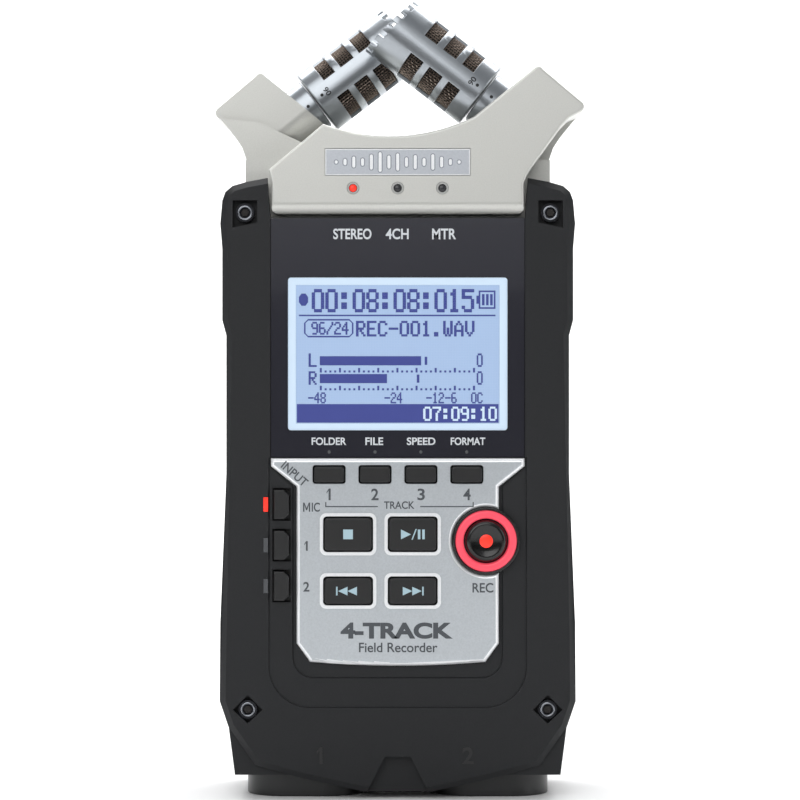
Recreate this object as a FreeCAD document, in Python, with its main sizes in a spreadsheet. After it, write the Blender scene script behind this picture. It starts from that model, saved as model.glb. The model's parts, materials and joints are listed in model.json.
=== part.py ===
import FreeCAD, Part
import math
import os
import re
import Sketcher

# A portable stereo field recorder that stands on its two input sockets.
# X runs to the user's right, the face with the display looks along -Y, Z is up.
# The origin is under the middle of the recorder, on the surface it stands on.
# Sizes are millimetres. Depths called "front" are measured from the XZ plane towards the user.

V = FreeCAD.Vector
doc = FreeCAD.newDocument("FieldRecorder")
sheet = doc.addObject("Spreadsheet::Sheet", "Dims")

dimensions = [
    # casing, front to back
    ("shell_front", 16.6), ("step_front", 16.2), ("deck_front", 15.8), ("wall_back", 14.2),
    ("split_front", 4.0), ("rear_depth", 17.6), ("rear_wall", 2.0), ("step_half", 25.2),
    ("step_low", 18.1), ("step_round", 8.0), ("deck_half", 20.5), ("deck_low", 23.9),
    ("deck_round", 4.0), ("step_edge", 0.35),
    # casing outline, half widths and heights
    ("half_top", 34.9), ("half_rail", 34.5), ("half_waist", 33.7), ("half_hip", 35.0),
    ("half_base", 32.05), ("half_apron", 28.0), ("half_notch", 6.6), ("half_notch_top", 2.5),
    ("shoulder_height", 122.1), ("corner_height", 117.6), ("rail_height", 94.1),
    ("waist_top", 91.1), ("waist_low", 64.0), ("hip_top", 47.0), ("hip_full", 34.5),
    ("hip_low", 19.2), ("hem_height", 14.2), ("base_height", 4.6), ("apron_side", 6.6),
    ("apron_low", 1.4), ("notch_top", 8.4),
    ("cavity_half", 31.4), ("cavity_base_half", 25.8), ("cavity_low", 6.6), ("cavity_base", 22.0),
    ("cavity_top", 111.5), ("neck_half", 26.8), ("neck_low", 112.6), ("ledge_half", 30.2),
    ("ledge_height", 121.0),
    # display
    ("window_half", 24.9), ("window_low", 67.2), ("window_high", 114.1), ("window_front", 16.4),
    ("frame_half", 21.6), ("frame_low", 72.4), ("frame_high", 102.5), ("lcd_half", 20.0),
    ("lcd_low", 73.8), ("lcd_high", 101.0), ("lcd_front", 16.2), ("track_light", 0.36),
    ("track_light_height", 68.2),
    # control panel
    ("panel_front", 17.4), ("panel_half", 24.9), ("panel_high", 67.0), ("panel_side", 19.85),
    ("panel_shoulder", 61.4), ("panel_low", 30.65), ("panel_toe", 17.2), ("panel_toe_height", 27.0),
    ("panel_bow", 200.0), ("panel_edge", 0.9),
    ("rim_wide", 0.95), ("rim_proud", 0.35),
    # buttons
    ("button_gap", 0.3), ("flange_front", 13.9), ("flange_thick", 0.8), ("flange_lip", 0.55),
    ("stem_radius", 1.2), ("stem_end", 11.9), ("button_edge", 0.3),
    ("track_width", 5.9), ("track_tall", 3.1), ("track_height", 63.8), ("track_pitch", 9.0),
    ("track_front", 18.0), ("track_start", -13.45),
    ("deck_width", 9.2), ("play_tall", 6.4), ("wind_tall", 5.1), ("left_column", -9.72),
    ("right_column", 2.94), ("play_height", 52.1), ("wind_height", 41.0), ("deck_button_front", 18.2),
    ("input_width", 3.0), ("input_tall", 5.8), ("input_column", -22.8), ("input_high", 57.9),
    ("input_pitch", 8.0), ("input_front", 17.6), ("input_corner", 1.0),
    ("record_across", 17.33), ("record_height", 50.76), ("record_radius", 4.1),
    ("record_front", 18.5), ("record_ring_in", 4.4), ("record_ring_out", 6.0),
    ("record_rim", 6.6), ("record_ring_front", 18.0), ("record_rim_front", 17.7),
    # microphones
    ("mic_rise", 37.5), ("mic_across", 16.5), ("mic_height", 138.9), ("mic_depth", 7.2),
    ("barrel_radius", 6.9), ("barrel_bore", 6.1), ("mesh_radius", 6.05), ("mesh_wall", 0.35),
    ("barrel_long", 26.0), ("barrel_tip", 22.8), ("crown_tall", 1.3), ("tip_slant", 7.5),
    ("spigot_radius", 3.2), ("spigot_long", 6.0), ("collar_radius", 5.5), ("collar_bore", 3.5),
    ("collar_long", 10.0), ("parting_gap", 0.3), ("capsule_radius", 5.2), ("capsule_low", 8.0),
    ("capsule_long", 9.0), ("spine_half", 18.5),
    ("band_one", 3.7), ("vent_one", 2.8), ("vent_two", 3.2), ("vent_three", 3.1),
    ("vent_two_low", 8.0), ("vent_three_low", 12.7),
    # microphone stand
    ("stand_front", 18.0), ("stand_offset", 14.4), ("arm_depth", 20.0), ("stand_low", 114.95),
    ("stand_foot_half", 24.7), ("valley_across", 25.6), ("valley_height", 123.5),
    ("horn_across", 36.9), ("horn_height", 136.0), ("tip_across", 27.9), ("tip_height", 143.7),
    ("crotch_across", 14.6), ("crotch_height", 132.5), ("saddle_radius", 37.0),
    ("brow_across", 14.9), ("brow_height", 133.9), ("arm_tip_across", 26.7),
    ("stand_edge", 0.5), ("roll_radius", 2.2), ("web_front", 5.0), ("web_depth", 10.0),
    ("badge_half", 14.3), ("badge_low", 122.3), ("badge_high", 127.7), ("badge_sink", 0.5),
    ("status_height", 119.9), ("status_pitch", 8.75), ("status_ring", 1.25), ("status_lens", 0.8),
    # sides
    ("side_depth", 6.0), ("rocker_half", 7.05), ("rocker_width", 6.0), ("rocker_proud", 1.0),
    ("volume_height", 78.45), ("level_height", 76.6), ("dial_height", 105.7), ("dial_radius", 6.0),
    ("dial_across", 29.5), ("dial_width", 4.0), ("axle_radius", 1.0), ("axle_play", 0.06),
    ("menu_height", 94.0), ("menu_radius", 2.3), ("switch_height", 102.0), ("switch_travel", 3.0),
    # card
    ("card_low", 29.5), ("card_wide", 24.0), ("card_long", 31.0), ("card_thick", 2.1),
    ("card_end", 31.0), ("cover_low", 27.5), ("cover_tall", 28.0), ("cover_wide", 9.0),
    # back
    ("door_half", 18.0), ("door_low", 49.5), ("door_high", 113.5), ("door_front_gap", 0.1),
    ("bay_half", 16.0), ("bay_low", 56.0), ("bay_high", 110.6), ("cell_radius", 7.2),
    ("cell_long", 50.0), ("tripod_height", 26.0), ("tripod_radius", 3.175), ("tripod_boss", 5.5),
    ("tripod_deep", 8.0), ("speaker_height", 40.6), ("speaker_radius", 8.5),
    # sockets at the foot
    ("jack_across", 18.4), ("bezel_wide", 23.2), ("bezel_deep", 26.0), ("bezel_hole", 9.4), ("bezel_corner", 8.0),
    ("plug_radius", 3.2), ("jack_radius", 9.3), ("jack_low", 1.4), ("jack_long", 25.0),
    ("mini_radius", 1.8), ("phones_height", 62.0), ("ext_height", 104.0), ("ext_across", -24.0),
    # screws
    ("screw_head", 1.87), ("screw_shank", 1.0), ("screw_top_across", 30.0),
    ("screw_top_height", 115.2), ("screw_low_across", 29.45), ("screw_low_height", 17.6),
    ("apron_deep", 4.4), ("screw_front", 15.9), ("screw_long", 14.0),
]
for row, (alias, size) in enumerate(dimensions, start=1):
    sheet.set(f"A{row}", alias.replace("_", " "))
    sheet.set(f"B{row}", str(size))
    sheet.setAlias(f"B{row}", alias)
doc.recompute()
named = {alias: "Dims." + alias for alias, size in dimensions}


# ---- words for the sheet -------------------------------------------------------------

def bound(size):
    # words that are not the sheet's own, such as cos and deg, stay as they are
    return re.sub(r"[a-z][a-z_]+", lambda word: named.get(word.group(0), word.group(0)), str(size))


def value(size):
    return float(sheet.evalExpression(bound(size))) if isinstance(size, str) else float(size)


def tie(thing, prop, size):
    thing.setExpression(prop, bound(size))


def minus(size):
    return f"-({size})"


# ---- sketches ------------------------------------------------------------------------

def new_body(label):
    body = doc.addObject("PartDesign::Body", label)
    body.Label = label
    return body


def sketch_on(body, role, offset):
    # XZ_Plane sketches look back from the user: their height above the plane is a "front"
    sketch = body.newObject("Sketcher::SketchObject", body.Name + "_sketch")
    plane = [feature for feature in body.Origin.OriginFeatures if feature.Role == role][0]
    sketch.AttachmentSupport = (plane, [""])
    sketch.MapMode = "FlatFace"
    tie(sketch, "AttachmentOffset.Base.z", offset)
    return sketch


def hold(sketch, kind, refs, size):
    index = sketch.addConstraint(Sketcher.Constraint(kind, *refs, value(size)))
    if isinstance(size, str):
        sketch.setExpression(f"Constraints[{index}]", bound(size))


def hold_point(sketch, edge, end, across, up):
    hold(sketch, "DistanceX", (-1, 1, edge, end), across)
    hold(sketch, "DistanceY", (-1, 1, edge, end), up)


def loop(sketch, points):
    # points: (across, up) or (across, up, radius, side) for an arc to the next point
    spots = [V(value(point[0]), value(point[1]), 0) for point in points]
    first = sketch.GeometryCount
    count = len(points)
    for i, point in enumerate(points):
        start = spots[i]
        end = spots[(i + 1) % count]
        if len(point) == 4:
            radius = value(point[2])
            chord = end - start
            rise = radius - math.sqrt(radius ** 2 - (chord.Length / 2) ** 2)
            normal = V(-chord.y, chord.x, 0).normalize()
            middle = (start + end) * 0.5 + normal * rise * point[3]
            sketch.addGeometry(Part.Arc(start, middle, end))
        else:
            sketch.addGeometry(Part.LineSegment(start, end))
    ends = []
    for i in range(count):
        near = (sketch.getPoint(first + i, 1) - spots[i]).Length < 1e-4
        ends.append((1, 2) if near else (2, 1))
    for i, point in enumerate(points):
        after = (i + 1) % count
        sketch.addConstraint(Sketcher.Constraint(
            "Coincident", first + i, ends[i][1], first + after, ends[after][0]))
        hold_point(sketch, first + i, ends[i][0], point[0], point[1])
        if len(point) == 4:
            hold(sketch, "Radius", (first + i,), point[2])


def ring(sketch, across, up, radius):
    index = sketch.addGeometry(Part.Circle(V(value(across), value(up), 0), V(0, 0, 1), value(radius)))
    hold(sketch, "Radius", (index,), radius)
    hold_point(sketch, index, 3, across, up)


def rectangle(sketch, across, up, wide, tall):
    half = f"({wide}) / 2"
    rise = f"({tall}) / 2"
    left, right = f"{across} - {half}", f"{across} + {half}"
    low, high = f"{up} - {rise}", f"{up} + {rise}"
    loop(sketch, [(left, low), (right, low), (right, high), (left, high)])


def pill(sketch, across, up, wide, tall, corner):
    # a rectangle whose corners are arcs
    left, right = f"{across} - ({wide}) / 2", f"{across} + ({wide}) / 2"
    low, high = f"{up} - ({tall}) / 2", f"{up} + ({tall}) / 2"
    loop(sketch, [
        (f"{left} + {corner}", low), (f"{right} - {corner}", low, corner, -1),
        (right, f"{low} + {corner}"), (right, f"{high} - {corner}", corner, -1),
        (f"{right} - {corner}", high), (f"{left} + {corner}", high, corner, -1),
        (left, f"{high} - {corner}"), (left, f"{low} + {corner}", corner, -1)])


# ---- features ------------------------------------------------------------------------

def pad(body, sketch, length, back=True):
    feature = body.newObject("PartDesign::Pad", body.Name + "_pad")
    feature.Profile = sketch
    feature.Reversed = back
    tie(feature, "Length", length)
    return feature


def pocket(body, sketch, length, forward=False):
    feature = body.newObject("PartDesign::Pocket", body.Name + "_pocket")
    feature.Profile = sketch
    feature.Reversed = forward
    tie(feature, "Length", length)
    return feature


def trim(body, kind, size, wanted):
    # rounds (Fillet) or bevels (Chamfer) the edges that wanted() picks
    doc.recompute()
    base = body.Tip
    names = [f"Edge{i}" for i, edge in enumerate(base.Shape.Edges, start=1) if wanted(edge)]
    feature = body.newObject("PartDesign::" + kind, body.Name + "_" + kind.lower())
    feature.Base = (base, names)
    tie(feature, "Radius" if kind == "Fillet" else "Size", size)


def at_front(front):
    depth = -value(front)
    return lambda edge: abs(edge.BoundBox.YMin - depth) < 1e-4 and abs(edge.BoundBox.YMax - depth) < 1e-4


def inside(front, half, low, high):
    # edges at one front, no further out than half and between two heights
    wide, bottom, top = value(half) + 1e-3, value(low) - 1e-3, value(high) + 1e-3
    flush = at_front(front)

    def wanted(edge):
        box = edge.BoundBox
        return (flush(edge) and -wide < box.XMin and box.XMax < wide and bottom < box.ZMin
                and box.ZMax < top)
    return wanted


def block(name, left, right, near, far, low, high):
    # near and far are Y values
    box = doc.addObject("Part::Box", name)
    box.Label = name
    tie(box, "Length", f"({right}) - ({left})")
    tie(box, "Width", f"({far}) - ({near})")
    tie(box, "Height", f"({high}) - ({low})")
    tie(box, "Placement.Base.x", left)
    tie(box, "Placement.Base.y", near)
    tie(box, "Placement.Base.z", low)
    return box


def rod(name, radius, long, start, towards):
    cylinder = doc.addObject("Part::Cylinder", name)
    cylinder.Label = name
    tie(cylinder, "Radius", radius)
    tie(cylinder, "Height", long)
    cylinder.Placement.Rotation = FreeCAD.Rotation(V(0, 0, 1), towards)
    for axis, size in zip("xyz", start):
        tie(cylinder, "Placement.Base." + axis, size)
    return cylinder


def fused(label, shapes):
    joined = doc.addObject("Part::MultiFuse", label)
    joined.Label = label
    joined.Shapes = shapes
    return joined


def grouped(label, shapes):
    group = doc.addObject("Part::Compound", label)
    group.Label = label
    group.Links = shapes
    return group


def cut(label, base, tools):
    tool = tools[0] if len(tools) == 1 else fused(label + "_tools", tools)
    result = doc.addObject("Part::Cut", label)
    result.Base = base
    result.Tool = tool
    result.Label = label
    return result


sub_parts = []


def keep(thing, label):
    thing.Label = label
    sub_parts.append(thing)
    return thing


left_to_right = V(1, 0, 0)
right_to_left = V(-1, 0, 0)
to_back = V(0, 1, 0)
to_front = V(0, -1, 0)
upward = V(0, 0, 1)
sides = (("left", -1), ("right", 1))


def signed(side, size):
    return size if side > 0 else minus(size)


# ---- casing --------------------------------------------------------------------------

def mirrored(half):
    # half is the right-hand side, from the bottom up
    left = [(minus(point[0]), point[1]) for point in reversed(half)]
    bends = [point[2:] for point in reversed(half[:-1])] + [()]
    return half + [corner + bend for corner, bend in zip(left, bends)]


upper_outline = [
    ("half_hip", "hip_low"), ("half_hip - 0.1", "hip_full"), ("half_rail", "hip_top"),
    ("half_waist", "waist_low"), ("half_waist", "waist_top"), ("half_rail", "rail_height"),
    ("half_rail", "rail_height + 14"), ("half_top", "rail_height + 19"),
    ("half_rail", "corner_height"), ("half_rail - 0.6", "corner_height + 1.7"),
    ("half_rail - 2", "corner_height + 2.9"), ("half_rail - 4.8", "shoulder_height - 0.8"),
    ("valley_across - 0.2", "shoulder_height")]
front_outline = mirrored([
    ("half_notch", "apron_low"), ("half_apron - 9", "base_height - 0.5"),
    ("half_apron", "apron_side"), ("half_hip - 1.7", "hem_height")] + upper_outline)
base_outline = mirrored([
    ("half_base", "base_height"), ("half_hip - 1.7", "hem_height")] + upper_outline)
cavity_outline = mirrored([
    ("cavity_base_half", "cavity_low"), ("cavity_base_half", "cavity_base"),
    ("cavity_half", "cavity_base + 5"), ("cavity_half", "cavity_top"),
    ("neck_half + 0.1", "cavity_top"), ("neck_half + 0.1", "ledge_height"),
    ("ledge_half + 0.1", "ledge_height"), ("ledge_half + 0.1", "shoulder_height + 2")])

track_columns = [f"track_start + {i} * track_pitch" for i in range(4)]
deck_buttons = [
    ("stop_button", "left_column", "play_height", "play_tall"),
    ("play_button", "right_column", "play_height", "play_tall"),
    ("rewind_button", "left_column", "wind_height", "wind_tall"),
    ("forward_button", "right_column", "wind_height", "wind_tall")]
input_heights = [f"input_high - {i} * input_pitch" for i in range(3)]


def button_holes(sketch, track_corner, deck_corner):
    for column in track_columns:
        pill(sketch, column, "track_height", "track_width + 2 * button_gap",
             "track_tall + 2 * button_gap", track_corner)
    for name, column, height, tall in deck_buttons:
        pill(sketch, column, height, "deck_width + 2 * button_gap",
             f"{tall} + 2 * button_gap", deck_corner)


def socket_holes(name):
    # room in the floor of a shell for both socket barrels
    return [rod(name + "_socket_hole", "jack_radius + 0.2", "jack_long",
                (signed(side, "jack_across"), "1", "base_height - 2"), upward) for side in (-1, 1)]


def make_front_shell():
    body = new_body("front_shell_body")
    face = sketch_on(body, "XZ_Plane", "shell_front")
    loop(face, front_outline)
    pad(body, face, "apron_deep")
    trim(body, "Chamfer", "1.2", at_front("shell_front"))
    sleeve = sketch_on(body, "XZ_Plane", "shell_front - 2")
    loop(sleeve, base_outline)
    pad(body, sleeve, "shell_front - 2 - split_front")
    cavity = sketch_on(body, "XZ_Plane", "wall_back")
    loop(cavity, cavity_outline)
    pocket(body, cavity, "wall_back - split_front + 1")
    notch = sketch_on(body, "XZ_Plane", "shell_front + 1")
    loop(notch, mirrored([("half_notch", "apron_low - 1"), ("half_notch_top", "notch_top")]))
    pocket(body, notch, "2.8")
    # two shallow steps run round the control panel
    step = sketch_on(body, "XZ_Plane", "shell_front")
    loop(step, mirrored([("step_half - step_round", "step_low", "step_round", -1),
                         ("step_half", "step_low + step_round"), ("step_half", "panel_high")]))
    pocket(body, step, "shell_front - step_front")
    trim(body, "Fillet", "step_edge", inside("shell_front", "step_half", "step_low", "panel_high"))
    deck = sketch_on(body, "XZ_Plane", "shell_front")
    loop(deck, mirrored([("deck_half - deck_round", "deck_low", "deck_round", -1),
                         ("deck_half", "deck_low + deck_round"), ("deck_half", "panel_shoulder - 0.2"),
                         ("panel_half + 0.1", "panel_high - 1.8"), ("panel_half + 0.1", "window_high")]))
    pocket(body, deck, "shell_front - deck_front")
    trim(body, "Fillet", "step_edge", inside("step_front", "deck_half", "deck_low", "panel_shoulder"))
    record_seat = sketch_on(body, "XZ_Plane", "shell_front + 1")
    ring(record_seat, "record_across", "record_height", "record_rim + 0.05")
    pocket(body, record_seat, "shell_front + 1 - deck_front")
    seat = sketch_on(body, "XZ_Plane", "shell_front + 3")
    loop(seat, mirrored([("stand_foot_half + 0.3", "window_high - 0.1"),
                         ("valley_across + 0.1", "valley_height"), ("valley_across + 0.1", "125")]))
    pocket(body, seat, "shell_front + 3")
    holes = sketch_on(body, "XZ_Plane", "shell_front")
    button_holes(holes, "0.6", "0.8")
    rectangle(holes, "0", "(lcd_low + lcd_high) / 2", "2 * lcd_half + 0.3", "lcd_high - lcd_low + 0.3")
    ring(holes, "record_across", "record_height", "record_ring_in")
    for height in input_heights:
        rectangle(holes, "input_column", height, "input_width + 2 * button_gap",
                  "input_tall + 2 * button_gap")
        rectangle(holes, "input_column - 3.1", height, "1.0", "3.0")
    pocket(body, holes, "shell_front - wall_back + 0.5")
    screw_wells = sketch_on(body, "XZ_Plane", "shell_front + 1")
    for side in (-1, 1):
        # lozenge wells round the lower screws, four-sided ones round the upper screws
        low = "screw_low_height"
        across = signed(side, "screw_low_across")
        loop(screw_wells, [(f"{across} - 2.9", low), (across, f"{low} - 2.7"),
                           (f"{across} + 2.9", low), (across, f"{low} + 2.9")])
        high = "screw_top_height"
        inner = signed(side, "screw_top_across - 2.4")
        outer = signed(side, "screw_top_across + 2.4")
        loop(screw_wells, [(inner, f"{high} - 1.95"), (outer, f"{high} - 3.0"),
                           (outer, f"{high} + 2.4"), (inner, f"{high} + 2.4")])
    pocket(body, screw_wells, "shell_front + 1 - screw_front + 1.6")
    shanks = sketch_on(body, "XZ_Plane", "shell_front")
    for side in (-1, 1):
        ring(shanks, signed(side, "screw_low_across"), "screw_low_height", "screw_shank + 0.05")
        ring(shanks, signed(side, "screw_top_across"), "screw_top_height", "screw_shank + 0.05")
    pocket(body, shanks, "shell_front - split_front + 1")
    keep(cut("front_shell", body, socket_holes("front")), "front_shell")


def make_rear_shell():
    body = new_body("rear_shell_body")
    back = sketch_on(body, "XZ_Plane", "split_front")
    loop(back, base_outline)
    pad(body, back, "split_front + rear_depth")
    trim(body, "Fillet", "2.5", lambda edge: edge.BoundBox.YMin > value("rear_depth") - 1e-4)
    cavity = sketch_on(body, "XZ_Plane", "split_front + 1")
    loop(cavity, cavity_outline)
    pocket(body, cavity, "split_front + 1 + rear_depth - rear_wall")
    bay = sketch_on(body, "XZ_Plane", "-rear_depth + rear_wall + 1")
    rectangle(bay, "0", "(bay_low - 6 + bay_high + 1.4) / 2", "2 * bay_half", "bay_high + 1.4 - bay_low + 6")
    pocket(body, bay, "rear_wall + 2")
    seat = sketch_on(body, "XZ_Plane", "split_front + 1")
    loop(seat, mirrored([("stand_foot_half + 0.3", "window_high + 0.7"),
                         ("valley_across + 0.1", "valley_height"), ("valley_across + 0.1", "125")]))
    pocket(body, seat, "split_front + rear_depth + 2")
    holes = sketch_on(body, "XZ_Plane", "-rear_depth + rear_wall + 1")
    ring(holes, "0", "tripod_height", "tripod_boss")
    ring(holes, "ext_across", "ext_height", "2.6")
    for row in range(-2, 3):
        rectangle(holes, "0", f"speaker_height + {row} * 2.2", "10", "1.1")
    pocket(body, holes, "rear_wall + 2")
    for side in (-1, 1):
        threads = sketch_on(body, "XZ_Plane", "split_front")
        ring(threads, signed(side, "screw_low_across"), "screw_low_height", "screw_shank + 0.05")
        ring(threads, signed(side, "screw_top_across"), "screw_top_height", "screw_shank + 0.05")
        pocket(body, threads, "8")
    wall_in, wall_out = "cavity_half - 1", "half_hip + 1"
    side_y = "side_depth"
    cutters = []
    for side, height in ((-1, "volume_height"), (1, "level_height")):
        low_x, high_x = (minus(wall_out), minus(wall_in)) if side < 0 else (wall_in, wall_out)
        cutters.append(block("rocker_slot", low_x, high_x, f"{side_y} - rocker_width / 2 - 0.4",
                             f"{side_y} + rocker_width / 2 + 0.4", f"{height} - rocker_half - 0.5",
                             f"{height} + rocker_half + 0.5"))
    # the dial's wheel turns in a pocket, and a narrower slot lets its rim out
    for start, end, reach in (("dial_across - 7", "33.4", "dial_radius + 0.4"), ("33.3", wall_out, "4.9")):
        cutters.append(block("dial_slot", start, end, f"{side_y} - dial_width / 2 - 0.4",
                             f"{side_y} + dial_width / 2 + 0.4", f"dial_height - ({reach})",
                             f"dial_height + {reach}"))
    cutters.append(block("switch_slot", minus(wall_out), minus(wall_in), f"{side_y} - 1.6",
                         f"{side_y} + 1.6", "switch_height - switch_travel - 3.0",
                         "switch_height + switch_travel + 3.0"))
    cutters.append(rod("menu_hole", "menu_radius + 0.3", "6", (wall_in, side_y, "menu_height"),
                       left_to_right))
    cutters.append(rod("phones_hole", "2.9", "6", (minus(wall_in), side_y, "phones_height"),
                       right_to_left))
    cutters.append(block("usb_hole", minus(wall_out), minus(wall_in), f"{side_y} - 2.0",
                         f"{side_y} + 2.0", "34", "42"))
    cutters.append(block("cover_recess", "half_waist - 1.0", wall_out,
                         f"{side_y} - cover_wide / 2 - 0.3", f"{side_y} + cover_wide / 2 + 0.3",
                         "cover_low - 0.3", "cover_low + cover_tall + 0.3"))
    cutters.append(block("card_slot", wall_in, wall_out, f"{side_y} - 2.2", f"{side_y} + 2.2",
                         "card_low - 0.8", "card_low + card_wide + 0.8"))
    keep(cut("rear_shell", body, cutters + socket_holes("rear")), "rear_shell")


def make_display():
    window = new_body("display_window")
    face = sketch_on(window, "XZ_Plane", "window_front")
    loop(face, mirrored([("window_half", "window_low"), ("window_half", "window_high")]))
    rectangle(face, "0", "(frame_low + frame_high) / 2", "2 * frame_half", "frame_high - frame_low")
    for column in track_columns:
        ring(face, column, "track_light_height", "track_light")
    pad(window, face, "window_front - deck_front")
    keep(window, "display_window")
    frame = new_body("lcd_frame")
    face = sketch_on(frame, "XZ_Plane", "lcd_front")
    pill(face, "0", "(frame_low + frame_high) / 2", "2 * frame_half - 0.1",
         "frame_high - frame_low - 0.1", "0.6")
    rectangle(face, "0", "(lcd_low + lcd_high) / 2", "2 * lcd_half", "lcd_high - lcd_low")
    pad(frame, face, "lcd_front - deck_front")
    keep(frame, "lcd_frame")
    panel = new_body("lcd_panel")
    face = sketch_on(panel, "XZ_Plane", "lcd_front - 0.05")
    rectangle(face, "0", "(lcd_low + lcd_high) / 2", "2 * lcd_half - 0.04", "lcd_high - lcd_low - 0.04")
    pad(panel, face, "2.4")
    keep(panel, "lcd_panel")


def make_control_panel():
    body = new_body("control_panel")
    face = sketch_on(body, "XZ_Plane", "panel_front")
    loop(face, [("-panel_toe", "panel_toe_height", "panel_bow", -1), ("panel_toe", "panel_toe_height"),
                ("panel_side", "panel_low"), ("panel_side", "panel_shoulder"),
                ("panel_half", "panel_high - 1.6"), ("panel_half", "panel_high"),
                ("-panel_half", "panel_high"), ("-panel_half", "panel_high - 1.6"),
                ("-panel_side", "panel_shoulder"), ("-panel_side", "panel_low")])
    pad(body, face, "panel_front - deck_front")
    round_cut = sketch_on(body, "XZ_Plane", "panel_front + 1")
    ring(round_cut, "record_across", "record_height", "record_rim + 0.05")
    pocket(body, round_cut, "panel_front - deck_front + 2")
    trim(body, "Fillet", "panel_edge", at_front("panel_front"))
    # a raised rim runs round each transport key
    rims = sketch_on(body, "XZ_Plane", "panel_front + rim_proud")
    for name, column, height, tall in deck_buttons:
        pill(rims, column, height, "deck_width + 2 * rim_wide", f"{tall} + 2 * rim_wide", "1.3")
    pad(body, rims, "rim_proud + 0.2")
    holes = sketch_on(body, "XZ_Plane", "panel_front + 1")
    button_holes(holes, "0.6", "0.8")
    pocket(body, holes, "panel_front - deck_front + 2")
    keep(body, "control_panel")


def record_disc(label, front, outer, inner, edge):
    body = new_body(label)
    face = sketch_on(body, "XZ_Plane", front)
    ring(face, "record_across", "record_height", outer)
    ring(face, "record_across", "record_height", inner)
    pad(body, face, f"{front} - deck_front")
    trim(body, "Fillet", edge, at_front(front))
    keep(body, label)


def add_stem(body, across, up):
    # the stem reaches for the key board behind the flange that keeps the cap in
    stem = sketch_on(body, "XZ_Plane", "flange_front - flange_thick")
    ring(stem, across, up, "stem_radius")
    pad(body, stem, "flange_front - flange_thick - stem_end")


def make_pill_button(label, across, up, wide, tall, corner, front):
    body = new_body(label)
    face = sketch_on(body, "XZ_Plane", front)
    pill(face, across, up, wide, tall, corner)
    pad(body, face, f"{front} - flange_front")
    trim(body, "Fillet", "button_edge", at_front(front))
    flange = sketch_on(body, "XZ_Plane", "flange_front")
    rectangle(flange, across, up, f"{wide} + 2 * flange_lip", f"{tall} + 2 * flange_lip")
    pad(body, flange, "flange_thick")
    add_stem(body, across, up)
    keep(body, label)


def make_input_button(label, up):
    body = new_body(label)
    face = sketch_on(body, "XZ_Plane", "input_front")
    left, right = "input_column - input_width / 2", "input_column + input_width / 2"
    low, high = f"{up} - input_tall / 2", f"{up} + input_tall / 2"
    loop(face, [(left, low), (f"{right} - input_corner", low), (right, f"{low} + input_corner"),
                (right, f"{high} - input_corner"), (f"{right} - input_corner", high), (left, high)])
    pad(body, face, "input_front - flange_front")
    trim(body, "Fillet", "button_edge", at_front("input_front"))
    flange = sketch_on(body, "XZ_Plane", "flange_front")
    rectangle(flange, "input_column", up, "input_width + 2 * flange_lip", "input_tall + 2 * flange_lip")
    pad(body, flange, "flange_thick")
    add_stem(body, "input_column", up)
    keep(body, label)


def make_record_button():
    body = new_body("record_button")
    face = sketch_on(body, "XZ_Plane", "record_front")
    ring(face, "record_across", "record_height", "record_radius")
    pad(body, face, "record_front - flange_front")
    trim(body, "Fillet", "0.8", at_front("record_front"))
    flange = sketch_on(body, "XZ_Plane", "flange_front")
    ring(flange, "record_across", "record_height", "record_radius + flange_lip + 0.3")
    pad(body, flange, "flange_thick")
    add_stem(body, "record_across", "record_height")
    keep(body, "record_button")


def make_lens_group(label, spots, radius, front, deep):
    # small light guides that share one node
    rods = [rod(f"{label}_{i}", radius, deep, (across, minus(front), up), to_back)
            for i, (across, up) in enumerate(spots, start=1)]
    keep(grouped(label, rods), label)


# ---- microphone stand ----------------------------------------------------------------

def make_stand_half(name):
    # a plate that carries one arm
    body = new_body(name)
    face = sketch_on(body, "XZ_Plane", "stand_front")
    loop(face, [
        ("1.2 - stand_foot_half", "stand_low"), ("stand_foot_half - 1.2", "stand_low", "1.2", -1),
        ("stand_foot_half", "stand_low + 1.2"), ("stand_foot_half", "valley_height - 2.7"),
        ("stand_foot_half + 0.6", "valley_height - 1.1"), ("valley_across + 0.6", "valley_height + 0.4"),
        ("horn_across - 4.9", "horn_height - 4"), ("horn_across - 3.3", "horn_height - 2.3"),
        ("horn_across - 0.8", "horn_height - 1.0", "1.2", -1),
        ("horn_across - 0.9", "horn_height + 0.9"), ("tip_across + 0.5", "tip_height - 0.4", "1.0", -1),
        ("arm_tip_across", "tip_height - 0.3"), ("brow_across", "brow_height", "saddle_radius", 1),
        ("-crotch_across", "crotch_height"), ("0.3 - valley_across", "valley_height"),
        ("-stand_foot_half", "valley_height - 2.7"),
        ("-stand_foot_half", "stand_low + 1.2", "1.2", -1)])
    pad(body, face, "arm_depth")
    trim(body, "Fillet", "stand_edge", at_front("stand_front"))
    return body


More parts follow.
